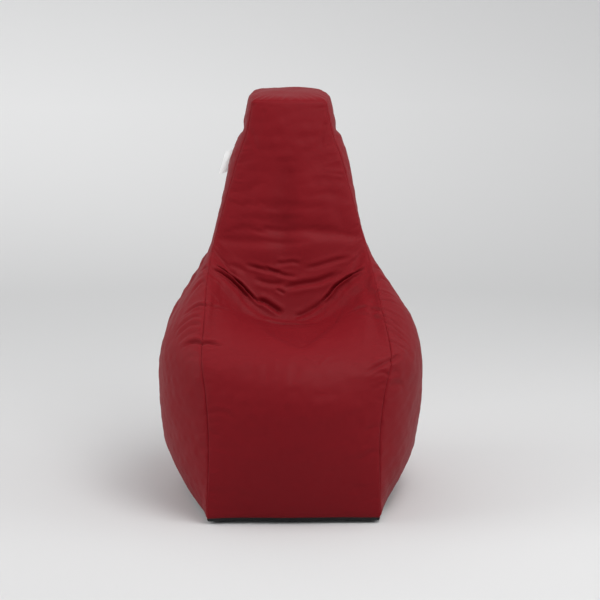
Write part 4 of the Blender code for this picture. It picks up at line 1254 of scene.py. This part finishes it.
def makeSlider(name, node, body, withBail, s):
    # two plates narrower at the closed end, a neck between the coils, flanges, and the bail
    low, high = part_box(node)
    at, z = (low.x + high.x) / 2, (low.z + high.z) / 2
    halfLong, halfWide = (high.x - low.x) / 2, (high.z - low.z) / 2
    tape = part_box(node.replace("slider", "tape_upper"))
    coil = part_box(node.replace("slider", "coil_upper"))
    outer, inner = coil[1].y + s["clear"], tape[0].y - s["clear"]       # the plates' facing sides
    parts = []

    def addPlate(outline, start, end, edge, narrow=True):
        if narrow:
            outline[:, 1] *= 1 - s["narrowing"] * (1 - outline[:, 0] / halfLong) ** 2 / 4
        parts.append((onZip(plateRings(outline, start, end, edge), at, z), False))

    for start, end in ((outer, outer + s["plate"]), (inner - s["plate"], inner)):
        addPlate(roundedRectangle(halfLong, halfWide, s["plateCorner"], 10), start, end, s["plateEdge"])
    neck = roundedRectangle((s["neckTo"] - s["neckFrom"]) / 2, s["neckHalf"], s["corner"])
    neck = neck + [(s["neckFrom"] + s["neckTo"]) / 2, 0]
    addPlate(neck, inner - s["lap"], outer + s["lap"], s["neckEdge"], narrow=False)
    for side in (1, -1):
        flange = roundedRectangle(halfLong - s["flangeShort"], s["flange"] / 2, s["corner"])
        flange = flange + [0, side * (halfWide - s["flange"] / 2 - s["flangeIn"])]
        addPlate(flange, tape[1].y + s["clear"], outer + s["lap"], s["flangeEdge"])
    if withBail:
        t = np.linspace(0, math.pi, 40)
        foot = outer + s["plate"] - s["bailSink"]
        x = at - s["bailHalf"] * np.sign(np.cos(t)) * np.abs(np.cos(t)) ** 0.5
        y = foot + s["bailHigh"] * np.sin(t) ** 0.5
        line = np.stack([x, y, 0 * t + z], -1)
        out = np.stack([x - at, y - foot + s["bailLift"], 0 * t], -1)
        parts.append((tubeRings(line, out, s["bailThick"], s["bailWide"], 12), False))
    joinedPiece(name, parts, nickel, body, [node])


def makePuller(s):
    # a flat loop that hangs on the bail, and a long tab with a round hole near its tip
    hinge = next(j for j in frame["joints"] if j["name"] == "puller_hinge")
    at, y, z = hinge["pos_m"]
    loop = roundedRectangle(s["eyeLong"] / 2, s["eyeHalf"], s["eyeCorner"]) - [s["eyeLong"] / 2, 0]
    line = onZip(np.concatenate([loop, np.full((len(loop), 1), y)], 1), at, z)
    eye = tubeRings(line, line - line.mean(axis=0), s["eyeWire"], s["pullerThick"] / 2, 12, shut=True)
    tip = s["pullerLong"] - s["pullerHalf"]
    front = tip - s["eyeLong"]
    a = np.linspace(0, 2 * math.pi, 96, endpoint=False)
    ray = np.stack([np.cos(a), np.sin(a)], -1)
    # the tab's outline seen from its hole: straight sides, a round tip and a slightly narrower neck
    reach = np.minimum(s["pullerHalf"] / np.maximum(np.abs(ray[:, 1]), 1e-6),
                       front / np.maximum(ray[:, 0], 1e-6))
    reach = np.where(ray[:, 0] < 0, s["pullerHalf"], reach)
    outline = ray * reach[:, None]
    outline[:, 1] *= 1 - s["waistShare"] * ramp(outline[:, 0], 0.3 * front, front)
    tab = holedRings(outline, ray * s["holeRadius"], s["pullerThick"], s["pullerEdge"])
    tab = onZip(tab + [0, 0, y], at - tip, z)
    joinedPiece("zipPuller", [(eye, True), (tab, True)], nickel, "puller", ["zip_puller"])


endTab = {"columns": 24, "rows": 26, "bend": 0.3, "wave": 0.0003, "allowance": 0.003}


def makeEndTab(name, node, cloth, t):
    # the strip of hem between the zip's end and the back seam, which follows the back panel
    low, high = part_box(node)
    v = np.linspace(0, 1, 200)
    levels = np.interp([low.z, high.z], panelPoints("back", 0.5, v)[:, 2], v)
    share, v = np.meshgrid(np.linspace(0, 1, t["columns"]), np.linspace(*levels, t["rows"]))
    x = low.x + (high.x - low.x) * share
    half = np.abs(panelPoints("back", 0.0, v[:, 0])[:, 0])[:, None]
    points = panelPoints("back", (1 - x / half) / 2, v)
    points[..., 0] = x
    points[..., 1] = (low.y + high.y) / 2 + (points[..., 1] - points[..., 1].mean()) * t["bend"]
    points[..., 1] += t["wave"] * np.sin(v * 160) * np.sin(share * 5)
    up = points[..., 2] - low.z
    points = points[:, ::-1]
    mesh = panelMesh(name, points, gridNormals(points), -x[:, ::-1], up, up * 0, t["allowance"])
    piece = addPiece(name, mesh, cloth, "bag", [node])


def makeZip(prefix, node, tapeMaterial, coilMaterial, cloth, sliderBody, s):
    coil = (coilMaterial, f"{node}_coil")
    for side in ("upper", "lower"):
        title = side.capitalize()
        makeTape(f"{prefix}Tape{title}", f"{node}_tape_{side}", tapeMaterial, s)
        makeCoil(f"{prefix}Coil{title}", f"{node}_coil_{side}", *coil, s)
        makeStop(f"{prefix}TopStop{title}", f"{node}_top_stop_{side}", *coil, s)
    makeStop(f"{prefix}BottomStop", f"{node}_bottom_stop", *coil, s)
    for side in ("right", "left"):
        makeEndTab(f"{prefix}EndTab{side.capitalize()}", f"{node}_end_tab_{side}", cloth, endTab)
    makeSlider(f"{prefix}Slider", f"{node}_slider", sliderBody, node == "zip", s)


makeZip("zip", "zip", tapeCloth, coilNylon, coverCloth, "cover_slider", zipShape)
makeZip("linerZip", "liner_zip", linerTape, linerCoil, linerCloth, "liner_slider",
        dict(zipShape, samples=8, sides=5))
makePuller(zipShape)
print("zips done")


# stage and light: a pale floor that rises far away, softboxes to the left, to the right and above, a
# small one for the head, a wide one on the backdrop, and a bright room

# the backdrop's grey, with painted light that makes it paler with the distance
stageShape = {"flat": 4.0, "flatRings": 60, "bend": 12.0, "bendRings": 70, "around": 120, "wallTurn": 42,
              "grey": 0.53, "greyPerMetre": 0.040, "darkest": 0.68, "palest": 0.86}


def makeStage(s):
    # rings of a wide shallow bowl: a flat disc, then an arc that rises round it
    turn = np.radians(np.linspace(0, s["wallTurn"], s["bendRings"]))[:, None]
    disc = np.linspace(0.05, s["flat"], s["flatRings"])[:-1, None]
    r = np.concatenate([disc, s["flat"] + s["bend"] * np.sin(turn)])
    z = np.concatenate([disc * 0, s["bend"] * (1 - np.cos(turn))])
    a = np.linspace(0, 2 * math.pi, s["around"], endpoint=False)[None, :]
    rings = np.stack(np.broadcast_arrays(r * np.cos(a), r * np.sin(a), z), -1)[:, ::-1]
    mesh = ringMesh("backdrop", rings, rings[..., :2].copy(), lowPole=True)
    backdrop = bpy.data.objects.new("backdrop", mesh)
    # painted light: the paper is painted a little whiter with the distance, as the far paper catches less
    # of the light
    paper, tree, shader = newMaterial("backdropPaper")
    far = addNode(tree, "ShaderNodeVectorMath", operation="LENGTH")
    tree.links.new(addNode(tree, "ShaderNodeTexCoord").outputs["Object"], far.inputs[0])
    grey = mathNode(tree, "MULTIPLY_ADD", far.outputs["Value"], s["greyPerMetre"], s["grey"])
    grey = mathNode(tree, "MINIMUM", mathNode(tree, "MAXIMUM", grey, s["darkest"]), s["palest"])
    tree.links.new(grey, shader.inputs["Base Color"])
    shader.inputs["Roughness"].default_value = 0.95
    shader.inputs["Specular IOR Level"].default_value = 0.1
    mesh.materials.append(paper)
    bpy.context.collection.objects.link(backdrop)


# each light's place, the point it is aimed at, its two sides in metres and its watts
lights = {
    "leftSoftbox": ((-3.6, -0.5, 2.3), (0, 0, 0.5), (2.6, 2.6), 54),
    "rightSoftbox": ((3.5, -0.5, 2.6), (0, 0, 0.6), (2.6, 2.6), 36),
    "highSoftbox": ((1.1, -1.4, 4.6), (0, 0, 0.8), (2.4, 1.8), 60),
    "headSoftbox": ((1.0, -1.3, 2.6), (0.05, 0.1, 0.95), (1.0, 0.8), 17),
    "backdropLight": ((-1.9, 5.6, 5.6), (-1.2, 8.5, 1.0), (5.0, 3.0), 125),
}


def makeLight(name, place, aim, size, power):
    light = bpy.data.lights.new(name, "AREA")
    light.shape = "RECTANGLE"
    light.size, light.size_y = size
    light.energy = power
    holder = bpy.data.objects.new(name, light)
    holder.location = place
    holder.rotation_euler = (Vector(aim) - Vector(place)).to_track_quat("-Z", "Y").to_euler()
    bpy.context.collection.objects.link(holder)


roomLight = {"colour": (0.985, 0.99, 1.0), "all": 0.18, "sides": 0.46, "left": 0.06, "behind": 0.40,
             "above": 0.24}


def makeWorld(s):
    # a room whose walls are bright to both sides, a little more to the left, and behind the chair,
    # and dim behind the camera: all + sides * x^2 - left * x + behind * y + above * z, where y and z
    # count only above zero
    world = bpy.data.worlds.new("studio")
    world.use_nodes = True
    tree = world.node_tree
    split = addNode(tree, "ShaderNodeSeparateXYZ")
    tree.links.new(addNode(tree, "ShaderNodeTexCoord").outputs["Generated"], split.inputs[0])
    x, y, z = split.outputs
    level = mathNode(tree, "MULTIPLY_ADD", mathNode(tree, "MULTIPLY", x, x), s["sides"], s["all"])
    level = mathNode(tree, "MULTIPLY_ADD", x, -s["left"], level)
    level = mathNode(tree, "MULTIPLY_ADD", mathNode(tree, "MAXIMUM", y, 0.0), s["behind"], level)
    level = mathNode(tree, "MULTIPLY_ADD", mathNode(tree, "MAXIMUM", z, 0.0), s["above"], level)
    background = tree.nodes["Background"]
    background.inputs[0].default_value = (*s["colour"], 1)
    tree.links.new(level, background.inputs[1])
    bpy.context.scene.world = world


makeStage(stageShape)
for name, settings in lights.items():
    makeLight(name, *settings)
makeWorld(roomLight)
bpy.context.scene.view_settings.view_transform = "Standard"
print("stage and lights done")
